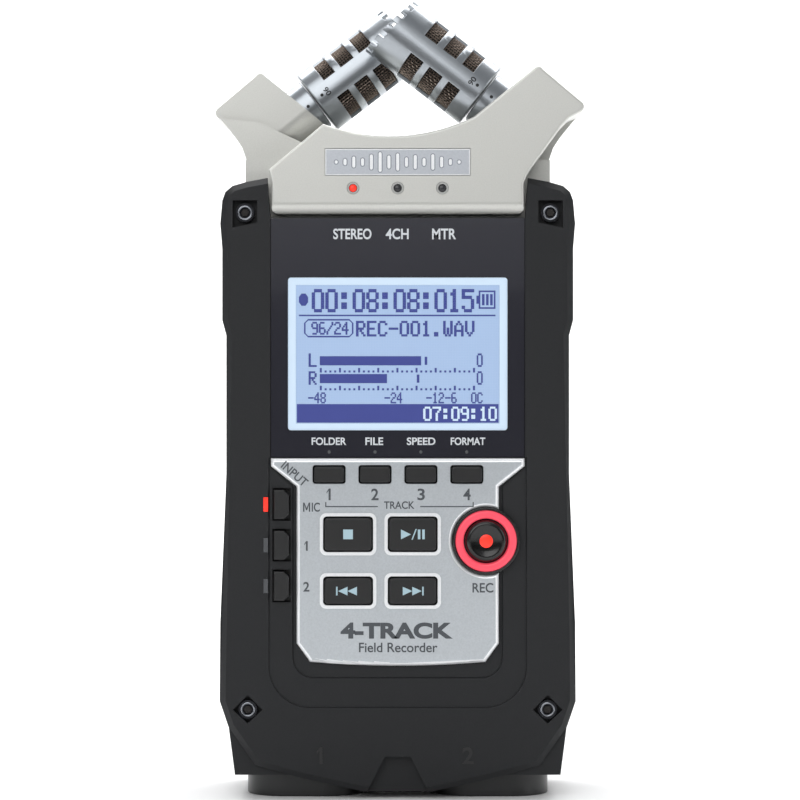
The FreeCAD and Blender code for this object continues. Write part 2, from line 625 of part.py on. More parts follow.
def make_stand():
    front = make_stand_half("stand_front_half")
    # the other half is the same shape turned round, and its arm sits one offset further back
    rear = make_stand_half("stand_rear_half")
    rear.Placement.Rotation = FreeCAD.Rotation(upward, 180)
    tie(rear, "Placement.Base.y", "stand_offset + arm_depth - 2 * stand_front")
    neck = new_body("stand_neck")
    face = sketch_on(neck, "XZ_Plane", "stand_front - 8")
    loop(face, mirrored([("neck_half", "neck_low"), ("neck_half", "ledge_height"),
                         ("ledge_half", "ledge_height"), ("ledge_half", "126"), ("12", "127")]))
    pad(neck, face, "2 * stand_front - 13.5")
    web = new_body("stand_web")
    face = sketch_on(web, "XZ_Plane", "web_front")
    loop(face, mirrored([("10", "124"), ("ledge_half", "124"), ("ledge_half", "126.2"),
                         ("ledge_half + 0.9", "128.8"), ("ledge_half + 2.3", "131"),
                         ("horn_across - 1.4", "horn_height - 1.3"), ("tip_across", "horn_height - 2"),
                         ("14", "127.5")]))
    pad(web, face, "web_depth")
    # the set-back arm rolls down into the valley beside the plate
    valley = new_body("stand_valley")
    roll = sketch_on(valley, "XY_Plane", "-3")
    loop(roll, [("0", "-5.5"), ("0", "0.6"), ("6", "0.6"), ("6", "0", "6.2", -1)])
    pad(valley, roll, "19", back=False)
    run = V(value("valley_across - crotch_across"), 0, value("crotch_height - valley_height"))
    out = V(-run.z, 0, run.x).normalize()
    turn = FreeCAD.Rotation(out, to_front, run, "ZXY")
    valley.Placement = FreeCAD.Placement(
        V(-value("valley_across"), -value("stand_front - stand_offset"), value("valley_height")), turn)
    whole = fused("stand_whole", [front, rear, neck, web])
    tools = [block("badge_recess", "-badge_half", "badge_half", "-stand_front - 1",
                   "-stand_front + badge_sink", "badge_low", "badge_high"), valley]
    # the plate's lower edge is rolled
    corner = block("roll_corner", "-valley_across", "valley_across", "-stand_front - 1",
                   "-stand_front + roll_radius", "stand_low - 1", "stand_low + roll_radius")
    drum = rod("roll_drum", "roll_radius", "60", ("-30", "-stand_front + roll_radius",
                                                   "stand_low + roll_radius"), left_to_right)
    tools.append(cut("plate_roll", corner, [drum]))
    for step in (-1, 0, 1):
        tools.append(rod("status_hole", "status_ring", "6",
                         (f"{step} * status_pitch", "-stand_front - 1", "status_height"), to_back))
    for name, side in sides:
        socket = rod(name + "_socket", "collar_radius", "collar_long",
                     mic_seat(side, "-collar_long - 0.2"), mic_direction(side))
        tools.append(socket)
        tools.append(rod(name + "_cable_way", "2", "14", mic_seat(side, "-collar_long - 8"),
                         mic_direction(side)))
    keep(cut("mic_stand", whole, tools), "mic_stand")


# ---- microphones ---------------------------------------------------------------------

def mic_direction(side):
    rise = math.radians(value("mic_rise"))
    return V(-side * math.cos(rise), 0, math.sin(rise))


def mic_seat(side, along):
    # a point on the barrel's axis, as expressions; zero is the line where barrel meets collar
    run = f"({along}) * cos(mic_rise * 1 deg)"
    return (signed(side, f"mic_across - {run}"), f"{-side} * mic_depth - 0.8",
            f"mic_height + ({along}) * sin(mic_rise * 1 deg)")


def mic_place(side):
    # local Z runs out along the barrel, local X is its upper side
    axis = mic_direction(side)
    upper = V(-axis.z * (axis.x / abs(axis.x)), 0, abs(axis.x))
    turn = FreeCAD.Rotation(upper, axis.cross(upper), axis, "ZXY")
    spot = V(*[value(size) for size in mic_seat(side, "0")])
    return FreeCAD.Placement(spot, turn)


def slanted_tool(name, low):
    # a slab square to the slanted end, everything above it
    slab = doc.addObject("Part::Box", name)
    for prop in ("Length", "Width"):
        tie(slab, prop, "40")
    tie(slab, "Height", "12")
    slant = math.radians(value("tip_slant"))
    turn = FreeCAD.Rotation(V(0, 1, 0), math.degrees(slant))
    slab.Placement = FreeCAD.Placement(V(0, 0, value(low)) + turn.multVec(V(-20, -20, 0)), turn)
    return slab


def make_barrel(name, side):
    label = name + "_mic_barrel"
    body = new_body(label + "_tube")
    base = sketch_on(body, "XY_Plane", "0")
    ring(base, "0", "0", "barrel_radius")
    pad(body, base, "barrel_long", back=False)
    spigot = sketch_on(body, "XY_Plane", "0")
    ring(spigot, "0", "0", "spigot_radius")
    pad(body, spigot, "spigot_long", back=True)
    trim(body, "Fillet", "0.35",
         lambda edge: abs(edge.BoundBox.ZMax) < 1e-4 and edge.BoundBox.XMax > value("spigot_radius") + 1)
    bore = sketch_on(body, "XY_Plane", "barrel_long")
    ring(bore, "0", "0", "barrel_bore")
    pocket(body, bore, "barrel_long - 1.5")
    facing = 90 * side
    for low, tall in (("band_one", "vent_one"), ("vent_two_low", "vent_two"),
                      ("vent_three_low", "vent_three")):
        vents = sketch_on(body, "XY_Plane", f"{low} + {tall}")
        for column in range(3):
            middle = math.radians(60 + 120 * column - facing)
            half = math.radians(60 - value("spine_half"))
            spots = []
            for radius, turn in ((5, -half), (12, -half), (12, half), (5, half)):
                spots.append((radius * math.cos(middle + turn), radius * math.sin(middle + turn)))
            loop(vents, spots)
        pocket(body, vents, tall)
    tools = [slanted_tool(label + "_end", "barrel_tip")]
    teeth = []
    tooth_count = 8
    for i in range(tooth_count):
        notch = doc.addObject("Part::Box", f"{label}_notch{i}")
        tie(notch, "Length", "40")
        tie(notch, "Width", "1.25")
        tie(notch, "Height", "12")
        turn = FreeCAD.Rotation(V(0, 1, 0), value("tip_slant")) * FreeCAD.Rotation(
            V(0, 0, 1), 180.0 * i / tooth_count)
        corner = turn.multVec(V(-20, -0.625, 0))
        notch.Placement = FreeCAD.Placement(V(0, 0, value("barrel_tip - crown_tall")) + corner, turn)
        teeth.append(notch)
    barrel = cut(label, body, tools + teeth)
    barrel.Placement = mic_place(side)
    keep(barrel, label)


def make_mesh(name, side):
    label = name + "_mic_mesh"
    body = new_body(label + "_thimble")
    base = sketch_on(body, "XY_Plane", "1.6")
    ring(base, "0", "0", "mesh_radius")
    pad(body, base, "22", back=False)
    bore = sketch_on(body, "XY_Plane", "18.6")
    ring(bore, "0", "0", "mesh_radius - mesh_wall")
    pocket(body, bore, "18")
    mesh = cut(label, body, [slanted_tool(label + "_end", "barrel_tip - 2.2")])
    mesh.Placement = mic_place(side)
    keep(mesh, label)


def make_capsule(name, side):
    label = name + "_mic_capsule"
    body = new_body(label)
    base = sketch_on(body, "XY_Plane", "capsule_low")
    ring(base, "0", "0", "capsule_radius")
    pad(body, base, "capsule_long", back=False)
    post = sketch_on(body, "XY_Plane", "1.5")
    ring(post, "0", "0", "2")
    pad(body, post, "capsule_low - 1.5", back=False)
    body.Placement = mic_place(side)
    keep(body, label)


def make_collar(name, side):
    label = name + "_mic_collar"
    body = new_body(label)
    base = sketch_on(body, "XY_Plane", "-parting_gap")
    ring(base, "0", "0", "collar_radius")
    ring(base, "0", "0", "collar_bore")
    pad(body, base, "collar_long - parting_gap - 0.1", back=True)
    body.Placement = mic_place(side)
    keep(body, label)


# ---- side controls -------------------------------------------------------------------

def make_rocker(label, side, height):
    # one paddle that tips either way, with a dip across its middle
    body = new_body(label)
    edge = "half_waist + rocker_proud"
    inner = "cavity_half - 0.8"
    face = sketch_on(body, "XZ_Plane", "-side_depth + rocker_width / 2")
    half = "rocker_half"
    outline = [(inner, f"{height} - {half}"), (f"{edge} - 0.5", f"{height} - {half}"),
               (edge, f"{height} - {half} + 0.7"), (edge, f"{height} - 0.7"),
               (f"{edge} - 0.6", height), (edge, f"{height} + 0.7"),
               (edge, f"{height} + {half} - 0.7"), (f"{edge} - 0.5", f"{height} + {half}"),
               (inner, f"{height} + {half}")]
    if side < 0:
        outline = [(minus(across), up) for across, up in reversed(outline)]
    loop(face, outline)
    pad(body, face, "rocker_width")
    keep(body, label)


def make_dial():
    axle = rod("dial_axle_pin", "axle_radius", "dial_width + 4",
               ("dial_across", "side_depth - dial_width / 2 - 2", "dial_height"), to_back)
    cradle = block("dial_axle_cradle", "dial_across - 2", "dial_across + 1.5",
                   "side_depth + dial_width / 2 + 0.8", "side_depth + dial_width / 2 + 3.2",
                   "dial_height - 2.5", "dial_height + 2.5")
    keep(fused("dial_axle", [axle, cradle]), "dial_axle")
    wheel = rod("dial_wheel", "dial_radius", "dial_width",
                ("dial_across", "side_depth - dial_width / 2", "dial_height"), to_back)
    bore = rod("dial_bore", "axle_radius + axle_play", "dial_width + 2",
               ("dial_across", "side_depth - dial_width / 2 - 1", "dial_height"), to_back)
    flutes = []
    flute_count = 20
    for i in range(flute_count):
        angle = 2 * math.pi * i / flute_count
        spot = (f"dial_across + {math.cos(angle):.6f} * (dial_radius + 0.25)",
                "side_depth - dial_width / 2 - 1",
                f"dial_height + {math.sin(angle):.6f} * (dial_radius + 0.25)")
        flutes.append(rod("dial_flute", "0.6", "dial_width + 2", spot, to_back))
    keep(cut("menu_dial", wheel, [bore] + flutes), "menu_dial")


def make_side_controls():
    make_rocker("volume_rocker", -1, "volume_height")
    make_rocker("level_rocker", 1, "level_height")
    make_dial()
    cap = rod("menu_cap", "menu_radius", "half_rail + 0.3 - cavity_half + 0.4",
              ("cavity_half - 0.4", "side_depth", "menu_height"), left_to_right)
    lip = rod("menu_lip", "menu_radius + 0.8", "0.8", ("cavity_half - 1.1", "side_depth", "menu_height"),
              left_to_right)
    keep(fused("menu_button", [cap, lip]), "menu_button")
    knob = block("switch_knob", "-half_rail - 0.4", "-cavity_half + 0.4", "side_depth - 1.2",
                 "side_depth + 1.2", "switch_height - 2.6", "switch_height + 2.6")
    slide = block("switch_slide", "-cavity_half + 0.4", "-cavity_half + 1.4", "side_depth - 3",
                  "side_depth + 3", "switch_height - 4.5", "switch_height + 4.5")
    keep(fused("power_switch", [knob, slide]), "power_switch")


# ---- card ----------------------------------------------------------------------------

def make_card():
    low_y, high_y = "side_depth - card_thick / 2", "side_depth + card_thick / 2"
    keep(block("memory_card", "card_end - card_long", "card_end", low_y, high_y, "card_low",
               "card_low + card_wide"), "memory_card")
    cage = block("card_cage", "card_end - card_long - 2.5", "card_end - 3", f"{low_y} - 0.7",
                 f"{high_y} + 0.7", "card_low - 1.0", "card_low + card_wide + 1.0")
    room = block("card_room", "card_end - card_long - 1.8", "card_end + 1", f"{low_y} - 0.3",
                 f"{high_y} + 0.3", "card_low - 0.4", "card_low + card_wide + 0.4")
    keep(cut("card_socket", cage, [room]), "card_socket")
    flap = block("card_cover_flap", "half_waist - 0.8", "half_rail", "side_depth - cover_wide / 2",
                 "side_depth + cover_wide / 2", "cover_low", "cover_low + cover_tall")
    nail = block("card_cover_nail", "half_rail - 0.5", "half_rail + 1", "side_depth - 2.5",
                 "side_depth + 2.5", "cover_low + cover_tall - 2.6", "cover_low + cover_tall - 1.2")
    keep(cut("card_cover", flap, [nail]), "card_cover")


# ---- battery bay and back ------------------------------------------------------------

def make_battery():
    plate = block("door_plate", "-door_half", "door_half", "rear_depth + door_front_gap",
                  "rear_depth + 0.9", "door_low", "door_high")
    tongue = block("door_tongue", "-bay_half + 0.4", "bay_half - 0.4", "rear_depth - rear_wall + 0.3",
                   "rear_depth + door_front_gap", "bay_low + 0.6", "bay_high + 1.0")
    grips = [block("door_grip", "-6", "6", "rear_depth + 0.6", "rear_depth + 2",
                   f"door_low + {3 + 1.8 * i}", f"door_low + {3.9 + 1.8 * i}") for i in range(5)]
    keep(cut("battery_door", fused("door_blank", [plate, tongue]), grips), "battery_door")
    outer = block("tray_outer", "-bay_half", "bay_half", "0", "rear_depth - rear_wall - 0.1",
                  "bay_low - 1.2", "bay_high + 0.6")
    inner = block("tray_inner", "-bay_half + 1", "bay_half - 1", "1", "rear_depth",
                  "bay_low", "bay_high - 0.6")
    keep(cut("battery_tray", outer, [inner]), "battery_tray")
    cells = []
    contacts = []
    for name, side in sides:
        across = signed(side, "cell_radius + 0.25")
        can = rod(name + "_cell_can", "cell_radius", "cell_long - 1.4",
                  (across, "cell_radius + 1.2", "bay_low + 2.6"), upward)
        nub = rod(name + "_cell_nub", "2.7", "1.4",
                  (across, "cell_radius + 1.2", "bay_low + 2.6 + cell_long - 1.4"), upward)
        cells.append(fused(name + "_cell", [can, nub]))
        contacts.append(rod(name + "_spring", "3", "2.2", (across, "cell_radius + 1.2", "bay_low + 0.2"),
                            upward))
        contacts.append(block(name + "_plate", f"{across} - 4", f"{across} + 4", "4", "12.5",
                              "bay_high - 1.2", "bay_high - 0.8"))
    keep(grouped("battery_cells", cells), "battery_cells")
    keep(grouped("battery_contacts", contacts), "battery_contacts")


def make_back():
    boss = rod("tripod_boss", "tripod_boss - 0.05", "tripod_deep",
               ("0", "rear_depth - tripod_deep + 0.1", "tripod_height"), to_back)
    thread = rod("tripod_thread", "tripod_radius", "tripod_deep - 1",
                 ("0", "rear_depth + 0.2", "tripod_height"), to_front)
    keep(cut("tripod_insert", boss, [thread]), "tripod_insert")
    basket = rod("speaker_basket", "speaker_radius", "3",
                 ("0", "rear_depth - rear_wall - 3.2", "speaker_height"), to_back)
    magnet = rod("speaker_magnet", "speaker_radius * 0.6", "2.5",
                 ("0", "rear_depth - rear_wall - 5.7", "speaker_height"), to_back)
    keep(fused("speaker", [basket, magnet]), "speaker")
    shell = rod("ext_jack_barrel", "2.55", "12", ("ext_across", "rear_depth - 12", "ext_height"), to_back)
    bore = rod("ext_jack_bore", "mini_radius", "11.4", ("ext_across", "rear_depth + 0.4", "ext_height"),
               to_front)
    keep(cut("ext_mic_jack", shell, [bore]), "ext_mic_jack")
    shell = rod("phones_jack_barrel", "2.85", "13", ("-half_waist", "side_depth", "phones_height"),
                left_to_right)
    bore = rod("phones_jack_bore", "mini_radius", "12.4", ("-half_waist - 0.4", "side_depth",
               "phones_height"), left_to_right)
    keep(cut("phones_jack", shell, [bore]), "phones_jack")
    shell = block("usb_shell", "-half_waist - 0.3", "-half_waist + 8", "side_depth - 1.9",
                  "side_depth + 1.9", "34.1", "41.9")
    room = block("usb_room", "-half_waist - 1", "-half_waist + 7.4", "side_depth - 1.5",
                 "side_depth + 1.5", "34.5", "41.5")
    keep(cut("usb_socket", shell, [room]), "usb_socket")


# ---- sockets at the foot -------------------------------------------------------------

def make_foot():
    bezels = []
    for name, side in sides:
        across = signed(side, "jack_across")
        bezel = new_body(name + "_bezel")
        face = sketch_on(bezel, "XY_Plane", "0")
        pill(face, across, "1", "bezel_wide", "bezel_deep", "bezel_corner")
        ring(face, across, "1", "bezel_hole")
        pad(bezel, face, "base_height", back=False)
        slot = block(name + "_release_slot", f"{across} - 3.0", f"{across} + 3.0", "10.9", "13.5",
                     "-1", "base_height + 1")
        bezels.append(cut(name + "_bezel_cut", bezel, [slot]))
        barrel = rod(name + "_jack_barrel", "jack_radius", "jack_long",
                     (across, "1", "jack_low"), upward)
        tools = [rod(name + "_plug_bore", "plug_radius", "jack_long - 1", (across, "1", "jack_low - 1"),
                     upward)]
        pin_count = 3
        for i in range(pin_count):
            angle = math.radians(210 + 60 * i)
            pin = (f"{across} + {6.0 * math.cos(angle):.4f}", f"1 + {6.0 * math.sin(angle):.4f}",
                   "jack_low - 1")
            tools.append(rod(name + "_pin_hole", "1.3", "14", pin, upward))
        label = "combo_jack_" + name
        keep(cut(label, barrel, tools), label)
        label = "jack_release_" + name
        tab = block(label + "_tab", f"{across} - 2.6", f"{across} + 2.6", "11.3", "13.1", "0.3",
                    "base_height - 0.6")
        keep(tab, label)
    bezels.append(block("bezel_bridge", "-half_notch - 0.1", "half_notch + 0.1", "-12", "13",
                        "base_height - 2.4", "base_height"))
    keep(grouped("jack_bezels", bezels), "jack_bezels")


# ---- boards and screws ---------------------------------------------------------------

def make_boards():
    keep(block("key_board", "-24.3", "24.3", "-stem_end + 0.8", "-stem_end + 2.4", "29", "66"), "key_board")
    board = block("main_board_sheet", "-28", "28", "-4.2", "-2.6", "32", "111")
    chips = [block("main_chip", "-9", "5", "-5.2", "-4.2", "44", "58"),
             block("memory_chip", "9", "19", "-5.0", "-4.2", "48", "56"),
             block("preamp_chip", "-22", "-15", "-5.2", "-4.2", "34", "41"),
             block("power_coil", "14", "20", "-7", "-4.2", "34", "40")]
    keep(fused("main_board", [board] + chips), "main_board")


def make_screw(name, across, front, up, towards, long):
    start = (across, front, up)
    head = rod(name + "_head", "screw_head", "1.6", start, towards)
    shank = rod(name + "_shank", "screw_shank", long, start, towards)
    socket = doc.addObject("Part::Prism", name + "_socket")
    socket.Polygon = 6
    tie(socket, "Circumradius", "1.0")
    tie(socket, "Height", "1.2")
    socket.Placement.Rotation = FreeCAD.Rotation(V(0, 0, 1), towards)
    back_off = f"{front} - 0.2" if towards.y > 0 else f"{front} + 0.2"
    for axis, size in zip("xyz", (across, back_off, up)):
        tie(socket, "Placement.Base." + axis, size)
    return cut(name, fused(name + "_blank", [head, shank]), [socket])


def make_screws():
    front_screws = []
    for name, side in sides:
        for level in ("top", "low"):
            front_screws.append(make_screw(
                f"{name}_{level}_screw", signed(side, f"screw_{level}_across"), "-screw_front",
                f"screw_{level}_height", to_back, "screw_long"))
    keep(grouped("front_screws", front_screws), "front_screws")


make_front_shell()
make_rear_shell()
make_display()
make_control_panel()
record_disc("record_bezel", "record_rim_front", "record_rim", "record_ring_out + 0.02", "0.2")
record_disc("record_ring", "record_ring_front", "record_ring_out", "record_ring_in", "0.5")
for number, column in enumerate(track_columns, start=1):
    make_pill_button(f"track_button_{number}", column, "track_height", "track_width", "track_tall",
                     "0.5", "track_front")
for label, column, height, tall in deck_buttons:
    make_pill_button(label, column, height, "deck_width", tall, "0.7", "deck_button_front")
for label, height in zip(("mic_button", "input_1_button", "input_2_button"), input_heights):
    make_input_button(label, height)
make_record_button()
make_lens_group("status_lenses", [(f"{step} * status_pitch", "status_height") for step in (-1, 0, 1)],
                "status_lens", "stand_front - 0.3", "2.5")
make_lens_group("track_lenses", [(column, "track_light_height") for column in track_columns],
                "track_light - 0.01", "window_front", "window_front - deck_front")
make_stand()
for name, side in sides:
    make_barrel(name, side)
    make_mesh(name, side)
    make_capsule(name, side)
    make_collar(name, side)
make_side_controls()
make_card()
make_battery()
make_back()
make_foot()
make_boards()
make_screws()

badge = block("badge_plate", "-badge_half + 0.1", "badge_half - 0.1", "-stand_front + 0.2",
              "-stand_front + badge_sink", "badge_low + 0.1", "badge_high - 0.1")
keep(badge, "badge_plate")
slots = [block(f"input_lens_{i}", "input_column - 3.55", "input_column - 2.65", "-shell_front - 0.1",
               "-wall_back", f"{height} - 1.45", f"{height} + 1.45")
         for i, height in enumerate(input_heights, start=1)]
keep(grouped("input_lenses", slots), "input_lenses")

doc.recompute()

faults = [thing.Label for thing in doc.Objects if "Invalid" in thing.State or "Error" in thing.State]
if faults:
    raise RuntimeError("objects that did not compute: " + ", ".join(faults))
for thing in sub_parts:
    if thing.Shape.isNull() or not thing.Shape.isValid():
        raise RuntimeError(thing.Label + " has no valid shape")

os.makedirs("parts", exist_ok=True)
for thing in sub_parts:
    thing.Shape.exportStep(os.path.join("parts", thing.Label + ".step"))
print(len(sub_parts), "sub-parts written")
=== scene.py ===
import bpy
import bmesh
import json
import math
from mathutils import Matrix, Vector
from mathutils.bvhtree import BVHTree


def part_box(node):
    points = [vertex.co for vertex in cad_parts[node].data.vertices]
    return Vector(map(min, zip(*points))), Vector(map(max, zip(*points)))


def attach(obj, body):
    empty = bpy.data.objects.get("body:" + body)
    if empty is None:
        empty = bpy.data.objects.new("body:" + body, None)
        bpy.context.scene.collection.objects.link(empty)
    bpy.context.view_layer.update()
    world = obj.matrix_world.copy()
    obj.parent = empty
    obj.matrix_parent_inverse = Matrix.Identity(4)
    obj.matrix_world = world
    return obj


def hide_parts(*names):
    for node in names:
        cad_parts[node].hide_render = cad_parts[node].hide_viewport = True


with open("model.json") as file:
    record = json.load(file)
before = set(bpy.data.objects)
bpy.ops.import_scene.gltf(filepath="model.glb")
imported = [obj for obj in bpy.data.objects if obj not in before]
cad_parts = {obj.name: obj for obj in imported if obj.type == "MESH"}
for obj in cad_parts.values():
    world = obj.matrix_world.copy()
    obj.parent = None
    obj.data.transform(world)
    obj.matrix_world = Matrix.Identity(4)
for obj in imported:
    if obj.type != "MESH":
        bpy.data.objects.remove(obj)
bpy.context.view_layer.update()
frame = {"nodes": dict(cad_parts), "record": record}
nodes = frame["nodes"]
mm = 0.001
print("frame loaded:", len(nodes), "nodes")


def linear(hexColour):
    # an sRGB hex colour as the linear values that shaders take
    parts = [int(hexColour[i:i + 2], 16) / 255 for i in (1, 3, 5)]
    return tuple(c / 12.92 if c <= 0.04045 else ((c + 0.055) / 1.055) ** 2.4 for c in parts) + (1.0,)


def addNode(material, kind, settings=None, links=None):
    node = material.node_tree.nodes.new(kind)
    for key, setting in (settings or {}).items():
        if isinstance(key, str) and hasattr(node, key):
            setattr(node, key, setting)
        else:
            node.inputs[key].default_value = setting
    for key, source in (links or {}).items():
        material.node_tree.links.new(source, node.inputs[key])
    return node


def newMaterial(name, colour, settings):
    material = bpy.data.materials.new(name)
    material.use_nodes = True
    shader = material.node_tree.nodes["Principled BSDF"]
    shader.inputs["Base Color"].default_value = linear(colour)
    for key, setting in settings.items():
        shader.inputs[key].default_value = setting
    material.diffuse_color = linear(colour)
    return material, shader


def grained(material, shader, grainSize, height, colours=None, roughness=None):
    # fine even grain: bump, with the colour and roughness drifting a little over it
    place = addNode(material, "ShaderNodeTexCoord")
    grain = addNode(material, "ShaderNodeTexNoise",
                    {"Scale": 1 / grainSize, "Detail": 2.0, "Roughness": 0.55},
                    {"Vector": place.outputs["Object"]})
    bump = addNode(material, "ShaderNodeBump", {"Strength": 1.0, "Distance": height},
                   {"Height": grain.outputs["Fac"]})
    material.node_tree.links.new(bump.outputs[0], shader.inputs["Normal"])
    if colours:
        drift = addNode(material, "ShaderNodeTexNoise", {"Scale": 1 / (grainSize * 1.6), "Detail": 3.0},
                        {"Vector": place.outputs["Object"]})
        ramp = addNode(material, "ShaderNodeValToRGB", None, {"Fac": drift.outputs["Fac"]})
        ramp.color_ramp.elements[0].position = 0.3
        ramp.color_ramp.elements[1].position = 0.7
        ramp.color_ramp.elements[0].color = linear(colours[0])
        ramp.color_ramp.elements[1].color = linear(colours[1])
        material.node_tree.links.new(ramp.outputs[0], shader.inputs["Base Color"])
    if roughness:
        wide = addNode(material, "ShaderNodeTexNoise", {"Scale": 1 / (grainSize * 30), "Detail": 2.0},
                       {"Vector": place.outputs["Object"]})
        spread = addNode(material, "ShaderNodeMapRange",
                         {"To Min": roughness[0], "To Max": roughness[1]}, {"Value": wide.outputs["Fac"]})
        material.node_tree.links.new(spread.outputs[0], shader.inputs["Roughness"])
    return material


def softTouchRubber():
    # soft-touch coating sprayed on moulded ABS: dark, dry, a very fine grain that scatters highlights
    material, shader = newMaterial("softTouchCoatedAbs", "#1c1d1f", {"IOR": 1.5, "Specular IOR Level": 0.3})
    return grained(material, shader, 0.12 * mm, 0.003 * mm, ("#1b1c1e", "#1f2022"), (0.46, 0.54))


def champagnePaint():
    # metallic lacquer on a die casting: flakes too fine to see are drawn 0.15 mm wide, as a faint sparkle
    material, shader = newMaterial("lacqueredDieCasting", "#c8c8c3", {"Metallic": 0.5})
    return grained(material, shader, 0.15 * mm, 0.002 * mm, ("#c5c5c0", "#ccccc7"), (0.32, 0.38))


def silverPaint(name, colours):
    # silver paint on a moulded panel, cooler than the stand's lacquer
    material, shader = newMaterial(name, "#bcc1c5", {"Metallic": 0.4})
    return grained(material, shader, 0.2 * mm, 0.002 * mm, colours, (0.26, 0.32))


def tintedAcrylic():
    # polished tinted acrylic: near black, sharp reflections
    material, shader = newMaterial("tintedAcrylic", "#2a2a31", {"IOR": 1.49, "Coat Weight": 0.6,
                                                              "Coat Roughness": 0.04})
    return grained(material, shader, 6 * mm, 0.01 * mm, None, (0.12, 0.18))


def displayGlass():
    # liquid crystal cell over a pale blue backlight, with the faint grid of its dots
    material, shader = newMaterial("liquidCrystalCell", "#b5cbe8", {"Roughness": 0.2})
    place = addNode(material, "ShaderNodeTexCoord")
    split = addNode(material, "ShaderNodeSeparateXYZ", None, {"Vector": place.outputs["Object"]})
    pitch = 0.315 * mm
    lines = []
    for axis in ("X", "Z"):
        scaled = addNode(material, "ShaderNodeMath", {"operation": "DIVIDE", 1: pitch},
                         {0: split.outputs[axis]})
        part = addNode(material, "ShaderNodeMath", {"operation": "FRACT"}, {0: scaled.outputs[0]})
        lines.append(addNode(material, "ShaderNodeMath", {"operation": "LESS_THAN", 1: 0.14},
                             {0: part.outputs[0]}))
    either = addNode(material, "ShaderNodeMath", {"operation": "MAXIMUM"},
                     {0: lines[0].outputs[0], 1: lines[1].outputs[0]})
    ramp = addNode(material, "ShaderNodeValToRGB", None, {"Fac": either.outputs[0]})
    ramp.color_ramp.elements[0].color = linear("#a3bbdd")
    ramp.color_ramp.elements[1].color = linear("#adc3e1")
    material.node_tree.links.new(ramp.outputs[0], shader.inputs["Base Color"])
    material.node_tree.links.new(ramp.outputs[0], shader.inputs["Emission Color"])
    shader.inputs["Emission Strength"].default_value = 0.08
    return material


def glowing(name, colour, strength):
    # moulded light guide lit from behind
    material, shader = newMaterial(name, colour, {"Roughness": 0.3})
    shader.inputs["Emission Color"].default_value = linear(colour)
    shader.inputs["Emission Strength"].default_value = strength
    place = addNode(material, "ShaderNodeTexCoord")
    cloud = addNode(material, "ShaderNodeTexNoise", {"Scale": 1 / (1.5 * mm)},
                    {"Vector": place.outputs["Object"]})
    spread = addNode(material, "ShaderNodeMapRange", {"To Min": 0.25, "To Max": 0.35},
                     {"Value": cloud.outputs["Fac"]})
    material.node_tree.links.new(spread.outputs[0], shader.inputs["Roughness"])
    return material


def mouldedBlack(name, colour, roughness, grainSize=0.25 * mm, height=0.006 * mm):
    # moulded ABS with the spark-eroded texture of its tool
    material, shader = newMaterial(name, colour, {"IOR": 1.53})
    return grained(material, shader, grainSize, height, None, roughness)


def turnedAluminium():
    # aluminium tube, turned, blasted very fine and clear anodised: bright with soft-edged reflections
    material, shader = newMaterial("satinAnodisedAluminium", "#a6abb0", {"Metallic": 0.95})
    return grained(material, shader, 0.5 * mm, 0.00005 * mm, ("#a6abb0", "#a9aeb3"), (0.27, 0.29))


def plainMetal(name, colour, roughness):
    # plated or turned metal with a faint even grain
    material, shader = newMaterial(name, colour, {"Metallic": 1.0})
    return grained(material, shader, 0.2 * mm, 0.003 * mm, None, roughness)


def printedInk(name, colour):
    # pad-printed ink, thin and slightly uneven
    material, shader = newMaterial(name, colour, {"IOR": 1.5})
    return grained(material, shader, 0.2 * mm, 0.002 * mm, None, (0.45, 0.6))


rubber = softTouchRubber()
standPaint = champagnePaint()
panelPaint = silverPaint("silverPaintedPanel", ("#b7bcc0", "#c1c6ca"))
# a paler copy of the panel's silver: painted highlight for the panel's edges and rims
paintedPanelHighlight = silverPaint("paintedHighlightPanelEdge", ("#eceef0", "#f4f5f6"))
acrylic = tintedAcrylic()
cellGlass = displayGlass()
lcdLight = glowing("displayLightGuide", "#c9dcee", 0.12)
lcdInk = printedInk("liquidCrystalDots", "#37428f")
keyPlastic = mouldedBlack("mouldedKeyAbs", "#0c0c0d", (0.34, 0.42), 0.15 * mm, 0.002 * mm)
rimPlastic = mouldedBlack("polishedBlackAbs", "#101010", (0.12, 0.2))
nylon = mouldedBlack("glassFilledNylon", "#141516", (0.3, 0.4), 0.3 * mm, 0.004 * mm)
darkPlastic = mouldedBlack("mouldedInnerAbs", "#161617", (0.5, 0.6))
redGlow = glowing("litRecordRing", "#e4485a", 0.38)
redDotGlow = glowing("litRecordDot", "#f0301f", 0.45)
redLens = glowing("litRedLens", "#f4301f", 0.5)
ringPlastic = mouldedBlack("mouldedLightRing", "#a5a6a3", (0.3, 0.4))
markInk = printedInk("engravedBlackFill", "#141415")
darkLens = mouldedBlack("unlitLens", "#2c2d2f", (0.1, 0.2))
greyLens = mouldedBlack("unlitGreyLens", "#4b4d50", (0.2, 0.3))
barrelMetal = turnedAluminium()
meshWire = plainMetal("wovenSteelWire", "#877a70", (0.35, 0.45))
foam = mouldedBlack("darkFoam", "#1c1917", (0.8, 0.9), 0.6 * mm, 0.1 * mm)
blackOxide = plainMetal("blackOxideSteel", "#2c2d30", (0.25, 0.32))
# paler metal for a ring on each screw head: painted highlight on its rim
screwRimHighlight = plainMetal("paintedHighlightScrewRim", "#8d9096", (0.2, 0.28))
platedSteel = plainMetal("platedSteel", "#b9babb", (0.25, 0.35))
brass = plainMetal("turnedBrass", "#b8944a", (0.3, 0.4))
boardEpoxy = mouldedBlack("glassEpoxyBoard", "#1c4a2c", (0.35, 0.45))
cellWrap = mouldedBlack("printedCellSleeve", "#23262b", (0.25, 0.35))
cardPlastic = mouldedBlack("mouldedCard", "#1b2233", (0.4, 0.5))
whiteInk = printedInk("paleGreyPrint", "#cdd1d5")
greyInk = printedInk("darkGreyPrint", "#484c51")
iconInk = printedInk("paleBluePrint", "#a7c2cc")
